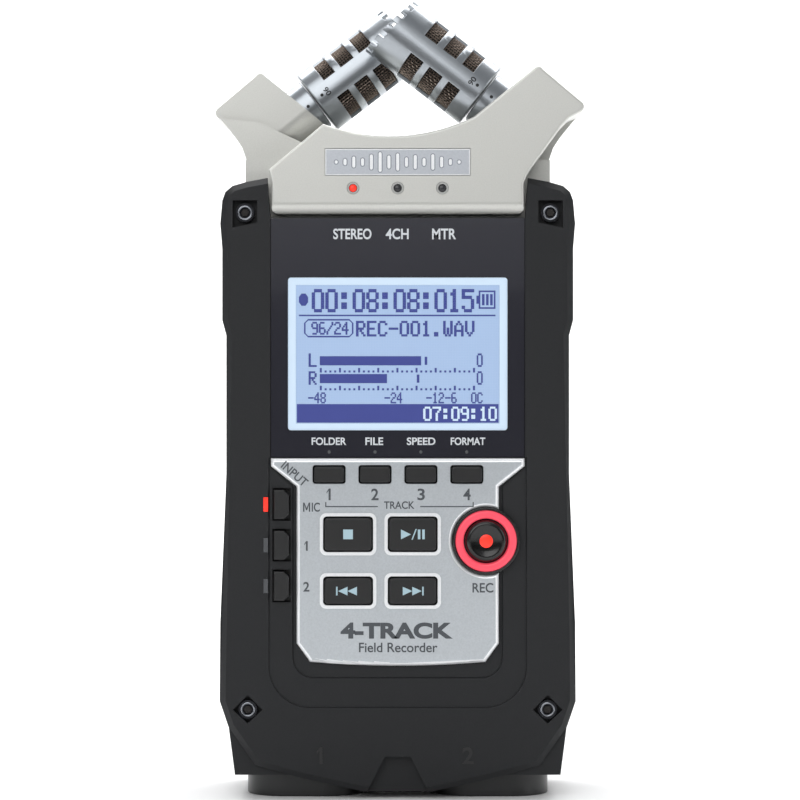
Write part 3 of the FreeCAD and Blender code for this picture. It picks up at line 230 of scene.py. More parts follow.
badgePaint = silverPaint("brushedBadgePlate", ("#b4b8be", "#bcc0c6"))
badgeBright = silverPaint("polishedBadgeRelief", ("#e6e8ea", "#f0f1f2"))
badgeShade = printedInk("badgeShadowPrint", "#7d838c")
print("materials made")


def smoothen(mesh, angle=35):
    for face in mesh.polygons:
        face.use_smooth = True
    mesh.set_sharp_from_angle(angle=math.radians(angle))


def levelNormals(piece):
    # broad faces keep their own direction, so that light doesn't smear across them
    level = piece.modifiers.new("level", "WEIGHTED_NORMAL")
    level.mode = "FACE_AREA"
    level.weight = 100
    level.keep_sharp = True


def finish(name, mesh, material, body, replaced=None, smooth=35):
    piece = bpy.data.objects.new(name, mesh)
    bpy.context.scene.collection.objects.link(piece)
    if not mesh.materials:
        mesh.materials.append(material)
    if smooth:
        smoothen(mesh, smooth)
    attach(piece, body)
    if replaced:
        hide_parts(replaced)
    return piece


def meshFrom(bm, name):
    mesh = bpy.data.meshes.new(name)
    bm.to_mesh(mesh)
    bm.free()
    return mesh


def turned(name, profile, place, material, body, replaced=None, segments=72, smooth=35):
    # profile: (radius, height) in millimetres, turned about the place's own Z
    bm = bmesh.new()
    rings = []
    for radius, height in profile:
        if radius == 0:
            rings.append([bm.verts.new((0, 0, height * mm))])
            continue
        rings.append([bm.verts.new((radius * mm * math.cos(2 * math.pi * i / segments),
                                    radius * mm * math.sin(2 * math.pi * i / segments), height * mm))
                      for i in range(segments)])
    for near, far in zip(rings, rings[1:]):
        for i in range(segments):
            j = (i + 1) % segments
            corners = [near[i % len(near)], near[j % len(near)], far[j % len(far)], far[i % len(far)]]
            bm.faces.new(list(dict.fromkeys(corners)))
    bmesh.ops.recalc_face_normals(bm, faces=bm.faces)
    mesh = meshFrom(bm, name)
    mesh.transform(place)
    return finish(name, mesh, material, body, replaced, smooth)


def facing(across, front, up):
    # a place whose own Z looks at the user
    return Matrix.Translation((across, -front, up)) @ Matrix.Rotation(math.radians(90), 4, "X")


def paint(node, material):
    thing = nodes[node]
    if not thing.material_slots:
        thing.data.materials.append(material)
    for slot in thing.material_slots:
        slot.material = material


def softened(node, material, body, width, segments):
    # the CAD node again, with the small radius that a moulded or cast edge has
    bm = bmesh.new()
    bm.from_mesh(nodes[node].data)
    bmesh.ops.remove_doubles(bm, verts=bm.verts, dist=0.002 * mm)
    bmesh.ops.dissolve_limit(bm, angle_limit=math.radians(1.5), verts=bm.verts, edges=bm.edges)
    mesh = meshFrom(bm, node + "Soft")
    mesh.materials.clear()
    mesh.materials.append(material)
    piece = bpy.data.objects.new(node + "_soft", mesh)
    bpy.context.scene.collection.objects.link(piece)
    bevel = piece.modifiers.new("edge", "BEVEL")
    bevel.width = width
    bevel.segments = segments
    bevel.limit_method = "ANGLE"
    bevel.angle_limit = math.radians(28)
    bevel.use_clamp_overlap = True
    smoothen(mesh, 60)
    levelNormals(piece)
    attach(piece, body)
    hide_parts(node)
    return piece


def brighten(piece, material, front, slant=(-0.965, -0.12)):
    # painted highlight: a paler second material on the slanted edges and on everything standing proud of the
    # given front, where light would catch
    piece.data.materials.append(material)
    piece.modifiers["edge"].material = 1
    for face in piece.data.polygons:
        if face.center.y < -front or slant[0] < face.normal.y < slant[1]:
            face.material_index = 1


slotOf = {part["node"]: part["material_slot"] for part in frame["record"]["subparts"]}
bodyOf = {node: body for body, members in frame["record"]["behaviour"]["bodies"].items() for node in members}
slotMaterials = {
    "casing": rubber, "window": acrylic, "lcd_glass": cellGlass, "lcd_border": lcdLight,
    "panel": panelPaint, "stand": standPaint, "badge": badgePaint, "mic_metal": barrelMetal,
    "mesh": meshWire, "capsule": barrelMetal, "keys": keyPlastic, "red_ring": redGlow,
    "rim": rimPlastic, "lenses": darkLens, "dial": keyPlastic, "steel": platedSteel,
    "boards": boardEpoxy, "tray": darkPlastic, "cells": cellWrap, "brass": brass,
    "screws": blackOxide, "sockets": nylon, "tabs": darkPlastic, "card": cardPlastic}
for node in nodes:
    paint(node, slotMaterials[slotOf[node]])

softEdges = {
    "front_shell": (0.3, 3), "rear_shell": (0.3, 3), "mic_stand": (0.15, 2), "control_panel": (0.22, 3),
    "display_window": (0.3, 3), "battery_door": (0.2, 2), "card_cover": (0.25, 2),
    "jack_bezels": (0.5, 3),
    "volume_rocker": (0.25, 2), "level_rocker": (0.25, 2), "menu_dial": (0.12, 2),
    "power_switch": (0.2, 2), "menu_button": (0.25, 2), "front_screws": (0.32, 3)}
for node, (width, segments) in softEdges.items():
    piece = softened(node, slotMaterials[slotOf[node]], bodyOf[node], width * mm, segments)
    if node == "control_panel":
        # the panel's rims and slanted edges get the painted highlight
        brighten(piece, paintedPanelHighlight, -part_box(node)[0].y - 0.2 * mm)  # the rims stand 0.35 mm proud
print("edges softened")


def faceFront(piece):
    # flat work drawn in XY is stood up to face the user
    piece.transform(Matrix.Rotation(math.radians(90), 4, "X"))


def flatText(curve, wide, tall, deep=0.03 * mm):
    # a line of text as a thin solid of a given width and height, centred
    writer = bpy.data.objects.new(curve.name + "Writer", curve)
    bpy.context.scene.collection.objects.link(writer)
    bpy.context.view_layer.update()
    mesh = bpy.data.meshes.new_from_object(writer)
    bpy.data.objects.remove(writer)
    low = [min(v.co[i] for v in mesh.vertices) for i in range(2)]
    high = [max(v.co[i] for v in mesh.vertices) for i in range(2)]
    mesh.transform(Matrix.Translation((-(low[0] + high[0]) / 2, -(low[1] + high[1]) / 2, 0)))
    mesh.transform(Matrix.Diagonal((wide / (high[0] - low[0]), tall / (high[1] - low[1]), 1, 1)))
    bm = bmesh.new()
    bm.from_mesh(mesh)
    made = bmesh.ops.extrude_face_region(bm, geom=bm.faces[:])
    moved = [item for item in made["geom"] if isinstance(item, bmesh.types.BMVert)]
    bmesh.ops.translate(bm, verts=moved, vec=(0, 0, deep))
    bmesh.ops.recalc_face_normals(bm, faces=bm.faces)
    bm.to_mesh(mesh)
    bm.free()
    mesh.materials.clear()
    return mesh


def printWords(name, words, across, front, up, wide, tall, material, body="root", turn=0, weight=0.0,
               deep=0.03 * mm):
    curve = bpy.data.curves.new(name, "FONT")
    curve.body = words
    curve.offset = weight
    mesh = flatText(curve, wide, tall, deep)
    mesh.transform(Matrix.Rotation(math.radians(turn), 4, "Z"))
    faceFront(mesh)
    mesh.transform(Matrix.Translation((across, -front, up)))
    return finish(name, mesh, material, body)


def flatShapes(name, shapes, across, front, up, material, body, deep=0.03 * mm):
    # shapes: outlines in millimetres about the middle
    bm = bmesh.new()
    for outline in shapes:
        corners = [bm.verts.new((x * mm, y * mm, 0)) for x, y in outline]
        bm.faces.new(corners)
    made = bmesh.ops.extrude_face_region(bm, geom=bm.faces[:])
    moved = [item for item in made["geom"] if isinstance(item, bmesh.types.BMVert)]
    bmesh.ops.translate(bm, verts=moved, vec=(0, 0, deep))
    bmesh.ops.recalc_face_normals(bm, faces=bm.faces)
    mesh = meshFrom(bm, name)
    faceFront(mesh)
    mesh.transform(Matrix.Translation((across, -front, up)))
    return finish(name, mesh, material, body)


def bar(left, low, right, high):
    return [(left, low), (right, low), (right, high), (left, high)]


panelFace = -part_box("control_panel")[0].y - 0.35 * mm  # behind the raised rims
windowFace = -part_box("display_window")[0].y
standFace = -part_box("mic_stand")[0].y
lcdFace = -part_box("lcd_panel")[0].y

# words: (text, across, up, width, height), in millimetres
windowWords = {
    "stereoLabel": ("STEREO", -8.9, 111.0, 7.5, 2.1), "fourLabel": ("4CH", -0.1, 111.0, 4.5, 2.1),
    "multiLabel": ("MTR", 9.1, 111.0, 4.7, 2.1), "folderLabel": ("FOLDER", -13.5, 70.3, 6.8, 1.5),
    "fileLabel": ("FILE", -4.6, 70.3, 3.5, 1.5), "speedLabel": ("SPEED", 4.6, 70.3, 5.6, 1.5),
    "formatLabel": ("FORMAT", 13.8, 70.3, 6.8, 1.5)}
for name, (words, across, up, wide, tall) in windowWords.items():
    printWords(name, words, across * mm, windowFace, up * mm, wide * mm, tall * mm, whiteInk, weight=0.022)

# the same with a turn in degrees and a stroke weight
panelWords = {
    "trackWord": ("TRACK", 0.3, 57.8, 6.0, 1.5, 0, 0.016),
    "micWord": ("IC", -16.05, 57.4, 1.6, 1.8, 0, 0.016),
    "inputTwoWord": ("2", -17.9, 41.8, 1.2, 1.9, 0, 0.02),
    "recordWord": ("REC", 16.7, 41.6, 4.1, 1.9, 0, 0.016),
    "nameWord": ("4-TRACK", -0.2, 33.2, 22.0, 3.2, 0, 0.045),
    "kindWord": ("Field Recorder", 0.1, 29.9, 15.4, 1.9, 0, 0.014),
    "inputWord": ("INPUT", -20.2, 63.9, 6.0, 1.7, -41, 0.016)}
for name, (words, across, up, wide, tall, turn, weight) in panelWords.items():
    printWords(name, words, across * mm, panelFace, up * mm, wide * mm, tall * mm, greyInk, turn=turn,
               weight=weight)
for number, across in zip((2, 3, 4), (-4.47, 4.59, 13.58)):
    printWords(f"trackNumber{number}", str(number), across * mm, panelFace, 59.9 * mm, 1.45 * mm, 2.3 * mm,
               greyInk, weight=0.02)


def figureOne(tall, thick):
    # a one with its flag, as a single outline
    half = tall / 2
    return [(-thick * 1.15, half * 0.42), (-thick * 0.1, half), (thick * 0.75, half), (thick * 0.75, -half),
            (-thick * 0.25, -half), (-thick * 0.25, half * 0.62), (-thick * 1.15, half * 0.12)]


# each 1, and the M of MIC, is drawn from listed outlines
flatShapes("trackNumber1", [figureOne(2.3, 0.42)], -13.45 * mm, panelFace, 59.9 * mm, greyInk, "root")
flatShapes("micLetter", [bar(-0.7, -0.9, -0.43, 0.9), bar(0.43, -0.9, 0.7, 0.9),
                         [(-0.43, 0.9), (-0.43, 0.45), (-0.12, -0.6), (0, -0.6), (0, -0.15)],
                         [(0.43, 0.9), (0, -0.15), (0, -0.6), (0.12, -0.6), (0.43, 0.45)]],
           -17.85 * mm, panelFace, 57.4 * mm, greyInk, "root")
flatShapes("inputOneWord", [figureOne(1.9, 0.36)], -17.9 * mm, panelFace, 49.8 * mm, greyInk, "root")
raised = {"up": 8.6, "tall": 3.3, "wide": 2.2, "thick": 0.6, "proud": 0.14, "one": -15.2, "two": 13.8}
shellMesh = bmesh.new()
shellMesh.from_mesh(nodes["front_shell"].data)
shellTree = BVHTree.FromBMesh(shellMesh)
shellMesh.free()
aim = Vector((raised["one"] * mm, -0.1, raised["up"] * mm))
shellFace = -shellTree.ray_cast(aim, Vector((0, 1, 0)))[0].y
# the darker plastic of the raised 1 and 2 is painted shade, standing in for the shading of their relief on
# the shell
flatShapes("shadedRaisedOne", [figureOne(raised["tall"], raised["thick"])], raised["one"] * mm, shellFace,
           raised["up"] * mm, darkPlastic, "root", raised["proud"] * mm)
printWords("shadedRaisedTwo", "2", raised["two"] * mm, shellFace, raised["up"] * mm, raised["wide"] * mm,
           raised["tall"] * mm, darkPlastic, weight=0.02, deep=raised["proud"] * mm)
bracket = {"line": 0.22, "tick": 1.0, "height": 57.4, "left": (-14.2, -3.9), "right": (4.4, 14.9)}
line, tick = bracket["line"], bracket["tick"]
left, right = bracket["left"]
flatShapes("leftBracket", [bar(left, 0, right, line), bar(left, line, left + line, tick)], 0, panelFace,
           bracket["height"] * mm, greyInk, "root")
left, right = bracket["right"]
flatShapes("rightBracket", [bar(left, 0, right, line), bar(right - line, line, right, tick)], 0, panelFace,
           bracket["height"] * mm, greyInk, "root")


def triangle(tipX, baseX, half):
    side = half if tipX < baseX else -half
    return [(baseX, side), (tipX, 0), (baseX, -side)]


icons = {
    "stop_button": [bar(-0.95, -0.95, 0.95, 0.95)],
    "play_button": [triangle(-0.35, -2.3, 0.95), [(-0.25, -1.05), (0.0, -1.05), (0.8, 1.05), (0.55, 1.05)],
                    bar(1.0, -0.95, 1.5, 0.95), bar(1.85, -0.95, 2.35, 0.95)],
    "rewind_button": [bar(-2.35, -0.85, -2.05, 0.85), triangle(-1.95, -0.1, 0.85),
                      triangle(-0.1, 1.75, 0.85)],
    "forward_button": [triangle(-0.1, -1.95, 0.85), triangle(1.75, -0.1, 0.85),
                       bar(1.85, -0.85, 2.15, 0.85)]}
for body, shapes in icons.items():
    low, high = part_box(body)
    flatShapes(body + "_icon", shapes, (low.x + high.x) / 2, -low.y, (low.z + high.z) / 2, iconInk, body)
print("printing done")


glyphs = {
    "0": "01110 10001 10001 10001 10001 10001 01110", "1": "00100 01100 00100 00100 00100 00100 01110",
    "2": "01110 10001 00001 00110 01000 10000 11111", "3": "01110 10001 00001 00110 00001 10001 01110",
    "4": "00010 00110 01010 10010 11111 00010 00010", "5": "11111 10000 11110 00001 00001 10001 01110",
    "6": "01110 10000 10000 11110 10001 10001 01110", "7": "11111 00001 00010 00100 00100 00100 00100",
    "8": "01110 10001 10001 01110 10001 10001 01110", "9": "01110 10001 10001 01111 00001 00001 01110",
    "R": "11110 10001 10001 11110 10100 10010 10001", "E": "11111 10000 10000 11110 10000 10000 11111",
    "C": "01110 10001 10000 10000 10000 10001 01110", "W": "10001 10001 10001 10101 10101 10101 01010",
    "A": "00100 01010 10001 10001 11111 10001 10001", "V": "10001 10001 10001 10001 10001 01010 00100",
    "L": "10000 10000 10000 10000 10000 10000 11111", "S": "01111 10000 10000 01110 00001 00001 11110",
    "D": "11110 10001 10001 10001 10001 10001 11110", "-": "00000 00000 00000 11111 00000 00000 00000",
    ".": "00000 00000 00000 00000 00000 01100 01100", ":": "00000 01100 01100 00000 01100 01100 00000",
    "/": "00001 00001 00010 00100 01000 10000 10000", " ": "00000 00000 00000 00000 00000 00000 00000"}


def boldShapes(text, left, top, dotWide, dotTall, step=6):
    # letters of display dots with strokes three half-dots wide, each row merged into runs
    shapes = []
    for place, letter in enumerate(text):
        lit = set()
        for row, bits in enumerate(glyphs[letter].split()):
            for column, bit in enumerate(bits):
                if bit == "1":
                    lit.update((2 * column + i, 2 * row + j) for i in range(3) for j in range(2))
        for row in range(14):
            columns = sorted(column for column, r in lit if r == row)
            while columns:
                last = columns[0]
                while last + 1 in columns:
                    last += 1
                x = left + (place * step * 2 + columns[0]) * dotWide / 2
                y = top - (row + 1) * dotTall / 2
                shapes.append(bar(x, y, x + (last + 1 - columns[0]) * dotWide / 2, y + dotTall / 2 * 0.97))
                columns = [column for column in columns if column > last]
    return shapes


def frameShapes(left, low, right, high, line):
    # an open rectangle out of four bars
    return [bar(left, low, right, low + line), bar(left, high - line, right, high),
            bar(left, low + line, left + line, high - line),
            bar(right - line, low + line, right, high - line)]


def displayInk():
    # top to bottom: counter, record dot and battery; rate and file name; level bars and their scale;
    # the frame round the time left
    ink = boldShapes("00:08:08:015", -16.9, 100.2, 0.45, 0.655, 5.95)
    ink.append([(-18.9, 96.9), (-18.1, 96.9), (-17.6, 97.6), (-17.6, 98.6), (-18.1, 99.3), (-18.9, 99.3),
                (-19.4, 98.6), (-19.4, 97.6)])
    ink += frameShapes(15.9, 96.3, 19.2, 99.9, 0.32)
    ink.append(bar(15.45, 97.3, 15.9, 98.9))
    ink += [bar(x, 97.0, x + 0.5, 99.2) for x in (16.55, 17.35, 18.15)]
    ink.append(bar(-19.4, 94.85, 19.2, 95.15))
    ink += [bar(-17.6, 90.7, -9.5, 91.0), bar(-17.6, 94.0, -9.5, 94.3), bar(-18.4, 91.5, -18.1, 93.5),
            bar(-9.0, 91.5, -8.7, 93.5)]
    ink += [[(-18.4, 91.5), (-17.6, 90.7), (-17.6, 91.0), (-18.1, 91.5)],
            [(-18.1, 93.5), (-17.6, 94.0), (-17.6, 94.3), (-18.4, 93.5)],
            [(-9.5, 90.7), (-8.7, 91.5), (-9.0, 91.5), (-9.5, 91.0)],
            [(-9.0, 93.5), (-8.7, 93.5), (-9.5, 94.3), (-9.5, 94.0)]]
    ink += boldShapes("96/24", -17.0, 93.75, 0.25, 0.36)
    ink += boldShapes("REC-001.WAV", -8.2, 93.95, 0.345, 0.44, 6.2)
    for letter, top in (("L", 87.55), ("R", 84.05)):
        ink += boldShapes(letter, -17.5, top, 0.29, 0.38)
        ink += boldShapes("0", 15.5, top, 0.22, 0.38)
    ink += [bar(-15.3, 85.2, 4.6, 87.0), bar(5.3, 85.3, 5.8, 86.9)]
    ink += [bar(-15.3, 81.7, -2.1, 83.5), bar(3.75, 81.8, 4.25, 83.4)]
    for base in (84.1, 80.6):
        ink += [bar(-15.3 + 0.94 * i, base - 0.3, -14.9 + 0.94 * i, base + (0.6 if i % 4 == 0 else 0.1))
                for i in range(33)]
    for text, left in (("-48", -17.6), ("-24", -2.6), ("-12", 5.6), ("-6", 9.3), ("0", 14.4), ("C", 15.6)):
        ink += boldShapes(text, left, 79.9, 0.2, 0.31)
    ink += [bar(-19.8, 73.95, 3.6, 77.6), bar(3.6, 73.95, 19.8, 74.2), bar(3.6, 77.35, 19.8, 77.6)]
    return ink


flatShapes("displayDots", displayInk(), 0, lcdFace + 0.01 * mm, 0, lcdInk, "root", 0.01 * mm)
flatShapes("displayField", [bar(3.6, 74.2, 19.8, 77.35)], 0, lcdFace + 0.01 * mm, 0, lcdInk, "root",
           0.01 * mm)
# the time left the other way round: a dark field with pale figures above it
flatShapes("displayFigures", boldShapes("07:09:10", 5.0, 77.1, 0.305, 0.4), 0,
           lcdFace + 0.02 * mm, 0, lcdLight, "root", 0.005 * mm)
print("display drawn")


def domeLens(name, spot, radius, material, body, bulge, segments=24):
    bm = bmesh.new()
    bmesh.ops.create_uvsphere(bm, u_segments=segments, v_segments=12, radius=radius)
    bmesh.ops.scale(bm, verts=bm.verts, vec=(1, bulge, 1))
    bmesh.ops.translate(bm, verts=bm.verts, vec=spot)
    mesh = meshFrom(bm, name)
    for face in mesh.polygons:
        face.use_smooth = True
    return finish(name, mesh, material, body, smooth=0)


lensFacts = {"statusStep": 8.75, "statusRadius": 0.78, "statusBulge": 0.5, "statusSunk": 0.45,
             "trackAcross": (-13.45, -4.45, 4.55, 13.55), "trackUp": 68.2, "trackRadius": 0.34,
             "trackBulge": 0.15, "trackSunk": 0.02, "inputUp": (57.9, 49.9, 41.9), "inputHalf": (0.45, 1.4),
             "inputDeep": 0.05}
# outlines of the turned pieces: (radius, height) along the axis, in millimetres
statusRingLine = [(0.8, -0.6), (0.82, -0.12), (0.92, -0.02), (1.12, -0.02), (1.22, -0.1), (1.24, -0.6)]
recordCapLine = [(0, 18.12), (1.5, 18.14), (2.3, 18.22), (2.9, 18.38), (3.25, 18.45), (3.6, 18.36),
                 (3.9, 18.05), (4.05, 17.6), (4.1, 17.0), (4.1, 13.9), (4.95, 13.9), (4.95, 13.1),
                 (1.2, 13.1), (1.2, 11.9), (0, 11.9)]
recordDotLine = [(0, 18.3), (0.9, 18.28), (1.2, 18.22), (1.33, 18.12), (1.35, 18.0)]
statusLow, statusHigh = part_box("status_lenses")
for index, step in enumerate((-1, 0, 1)):
    across = step * lensFacts["statusStep"] * mm
    spot = Vector((across, -standFace + lensFacts["statusSunk"] * mm, (statusLow.z + statusHigh.z) / 2))
    domeLens(f"statusDome{index + 1}", spot, lensFacts["statusRadius"] * mm,
             redLens if step < 0 else darkLens, "root", lensFacts["statusBulge"])
    turned(f"statusRing{index + 1}", statusRingLine, facing(across, standFace, spot.z), ringPlastic, "root",
           segments=40)
for index, across in enumerate(lensFacts["trackAcross"], start=1):
    spot = Vector((across * mm, -windowFace + lensFacts["trackSunk"] * mm, lensFacts["trackUp"] * mm))
    domeLens(f"trackDome{index}", spot, lensFacts["trackRadius"] * mm, greyLens, "root",
             lensFacts["trackBulge"], 16)
recordLow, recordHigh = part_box("record_button")
recordMiddle = facing((recordLow.x + recordHigh.x) / 2, 0, (recordLow.z + recordHigh.z) / 2)
turned("recordCap", recordCapLine, recordMiddle, rimPlastic, "record_button", "record_button")
turned("recordDot", recordDotLine, recordMiddle, redDotGlow, "record_button")
inputLow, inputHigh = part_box("input_lenses")
inputMiddle = (inputLow.x + inputHigh.x) / 2
inputWide, inputTall = lensFacts["inputHalf"]
for index, height in enumerate(lensFacts["inputUp"]):
    flatShapes(f"inputLight{index + 1}", [bar(-inputWide, -inputTall, inputWide, inputTall)], inputMiddle,
               -inputLow.y, height * mm, redLens if index == 0 else greyLens, "root",
               lensFacts["inputDeep"] * mm)
print("lights made")


screwFacts = {"spots": ((-30.0, 115.2), (30.0, 115.2), (-29.45, 17.6), (29.45, 17.6)), "front": 15.9,
              "outer": 1.42, "inner": 1.12, "proud": 0.06, "round": 0.1, "hex": 0.78}
inner, outer, proud = screwFacts["inner"], screwFacts["outer"], screwFacts["proud"]
ringLine = [(inner, 0), (inner + screwFacts["round"], proud), (outer - screwFacts["round"], proud),
            (outer, 0), (inner, 0)]
hexagon = [(screwFacts["hex"] * math.cos(math.radians(60 * i)),
            screwFacts["hex"] * math.sin(math.radians(60 * i))) for i in range(6)]
for index, (across, up) in enumerate(screwFacts["spots"], start=1):
    # a paler ring round the socket, a painted highlight on the head's rim, and a dark hexagon at its mouth,
    # painted shade of the socket
    across, front, up = across * mm, screwFacts["front"] * mm, up * mm
    turned(f"screwRing{index}", ringLine, facing(across, front, up), screwRimHighlight, "root", segments=48)
    flatShapes(f"screwSocket{index}", [hexagon], across, front, up, foam, "root", 0.01 * mm)
print("screws dressed")


meshFacts = {"wires": 60, "pitch": 0.56, "wire": 0.11, "radius": 5.92, "low": 2.6, "high": 20.0}
micFacts = {"rise": 37.5, "across": 16.5, "height": 138.9, "depthRight": -8.0, "depthLeft": 6.4}


def micPlace(side):
    rise = math.radians(micFacts["rise"])
    axis = Vector((-side * math.cos(rise), 0, math.sin(rise)))
    upper = Vector((side * math.sin(rise), 0, math.cos(rise)))
    across = axis.cross(upper)
    turn = Matrix((upper, across, axis)).transposed().to_4x4()
    depth = micFacts["depthRight"] if side > 0 else micFacts["depthLeft"]
    return Matrix.Translation(Vector((side * micFacts["across"], depth, micFacts["height"])) * mm) @ turn


barrelFacts = {"radius": 6.9, "wall": 0.75, "round": 0.35, "tip": 22.75, "slant": 7.5, "crown": 1.3,
               "notch": 1.25, "notches": 16, "spine": 18.5, "vents": ((3.7, 6.5), (8.0, 11.2), (12.7, 15.8)),
               "shoulder": 17.2, "step": 3.0, "edge": 0.13}
markFacts = {"across": 0.65, "dot": 0.34, "barrelDot": 1.55, "collar": 5.5, "collarDot": -2.0,
             "wordAcross": 0.7, "wordWide": 1.7, "wordTall": 1.15, "wordAlong": 2.85}


def micBarrel(name, side):
    # one skin laid out as a grid of angles and heights, with vents and notches left open, then thickened
    facts = barrelFacts
    radius = facts["radius"]
    slope = math.tan(math.radians(facts["slant"]))
    facing0 = 90 * side
    vents = [60 + 120 * i - facing0 for i in range(3)]
    half = 60 - facts["spine"]
    notchHalf = math.degrees(facts["notch"] / 2 / radius)
    notches = [360 / facts["notches"] * i for i in range(facts["notches"])]

    def apart(angle, other):
        return abs((angle - other + 180) % 360 - 180)

    angles = [(middle + turn) % 360 for middle in vents for turn in (-half, half)]
    angles += [(middle + turn) % 360 for middle in notches for turn in (-notchHalf, notchHalf)]
    between = [facts["step"] * i for i in range(int(360 / facts["step"]))]
    angles += [angle for angle in between if min(apart(angle, other) for other in angles) > 1.0]
    angles.sort()
    heights = [facts["round"]] + [height for pair in facts["vents"] for height in pair] + [facts["shoulder"]]
    bm = bmesh.new()
    columns = []
    for angle in angles:
        x, y = math.cos(math.radians(angle)), math.sin(math.radians(angle))
        column = [bm.verts.new((x * (radius - 0.35), y * (radius - 0.35), 0)),
                  bm.verts.new((x * (radius - 0.1), y * (radius - 0.1), 0.1))]
        column += [bm.verts.new((x * radius, y * radius, height)) for height in heights]
        top = facts["tip"] - slope * x * radius
        column.append(bm.verts.new((x * radius, y * radius, top - facts["crown"])))
        column.append(bm.verts.new((x * radius, y * radius, top)))
        columns.append(column)
    centre = bm.verts.new((0, 0, 0))
    for i, column in enumerate(columns):
        after = columns[(i + 1) % len(columns)]
        middle = angles[i] + ((angles[(i + 1) % len(angles)] - angles[i]) % 360) / 2
        bm.faces.new((centre, column[0], after[0]))
        for j in range(len(column) - 1):
            low = column[j].co.z
            inVent = any(abs(low - pair[0]) < 0.01 for pair in facts["vents"])
            if inVent and any(apart(middle, vent) < half for vent in vents):
                continue
            if j == len(column) - 2 and any(apart(middle, notch) < notchHalf for notch in notches):
                continue
            bm.faces.new((column[j], after[j], after[j + 1], column[j + 1]))
    bmesh.ops.recalc_face_normals(bm, faces=bm.faces)
    bmesh.ops.scale(bm, verts=bm.verts, vec=(mm, mm, mm))
    mesh = meshFrom(bm, name)
    mesh.transform(micPlace(side))
    return mesh


def weaveMesh(name, side):
    # wires along the tube and hoops round it, swaying past each other at every crossing
    facts = meshFacts
    curve = bpy.data.curves.new(name, "CURVE")
    curve.dimensions = "3D"
    curve.bevel_depth = facts["wire"] * mm
    curve.bevel_resolution = 0
    rows = int((facts["high"] - facts["low"]) / facts["pitch"])
    lift = facts["wire"]

    def onTube(angle, sway, height):
        radius = facts["radius"] + sway
        return (radius * math.cos(angle) * mm, radius * math.sin(angle) * mm, height * mm, 1)

    for wire in range(facts["wires"]):
        angle = 2 * math.pi * wire / facts["wires"]
        spline = curve.splines.new("POLY")
        spline.points.add(rows * 2)
        for i in range(rows * 2 + 1):
            sway = lift * math.cos(math.pi * (i / 2 + wire))
            spline.points[i].co = onTube(angle, sway, facts["low"] + i * facts["pitch"] / 2)
    for row in range(rows + 1):
        spline = curve.splines.new("POLY")
        count = facts["wires"] * 2
        spline.points.add(count - 1)
        spline.use_cyclic_u = True
        for i in range(count):
            sway = -lift * math.cos(math.pi * (row + i / 2))
            height = facts["low"] + row * facts["pitch"]
            spline.points[i].co = onTube(math.pi * i / facts["wires"], sway, height)
    writer = bpy.data.objects.new(name + "Writer", curve)
    bpy.context.scene.collection.objects.link(writer)
    bpy.context.view_layer.update()
    mesh = bpy.data.meshes.new_from_object(writer)
    bpy.data.objects.remove(writer)
    mesh.materials.clear()
    mesh.transform(micPlace(side))
    return mesh


def innerTube(name, side):
    # foam close behind the mesh, so that nothing shows through it
    bm = bmesh.new()
    bmesh.ops.create_cone(bm, cap_ends=True, segments=48, radius1=5.6 * mm, radius2=5.6 * mm, depth=16.4 * mm)
    bmesh.ops.translate(bm, verts=bm.verts, vec=(0, 0, 10.2 * mm))
    mesh = meshFrom(bm, name)
    mesh.transform(micPlace(side))
    return mesh


def wrapOnBarrel(name, mesh, side, radius, along, body):
    # flat marks, drawn across X and up Y in metres, bent round the tube on its front side
    front = -1 if side > 0 else 1
    for corner in mesh.vertices:
        x, y, z = corner.co
        x = side * x + (0 if side > 0 else markFacts["across"] * mm)
        reach = math.sqrt(radius ** 2 - x ** 2) + z
        corner.co = (x, front * reach, y + along)
    mesh.transform(micPlace(side))
    bm = bmesh.new()
    bm.from_mesh(mesh)
    bmesh.ops.recalc_face_normals(bm, faces=bm.faces)
    bm.to_mesh(mesh)
    bm.free()
    return finish(name, mesh, markInk, body)


def markDot(name):
    bm = bmesh.new()
    bmesh.ops.create_circle(bm, cap_ends=True, segments=20, radius=markFacts["dot"] * mm)
    made = bmesh.ops.extrude_face_region(bm, geom=bm.faces[:])
    bmesh.ops.translate(bm, verts=[item for item in made["geom"] if isinstance(item, bmesh.types.BMVert)],
                        vec=(0, 0, 0.02 * mm))
    mesh = meshFrom(bm, name)
    mesh.transform(Matrix.Translation((markFacts["across"] * mm, 0, 0)))
    return mesh


def markWords(name, words):
    curve = bpy.data.curves.new(name, "FONT")
    curve.body = words
    curve.offset = 0.02
    mesh = flatText(curve, markFacts["wordWide"] * mm, markFacts["wordTall"] * mm)
    mesh.transform(Matrix.Translation((markFacts["wordAcross"] * mm, 0, 0)))
    return mesh


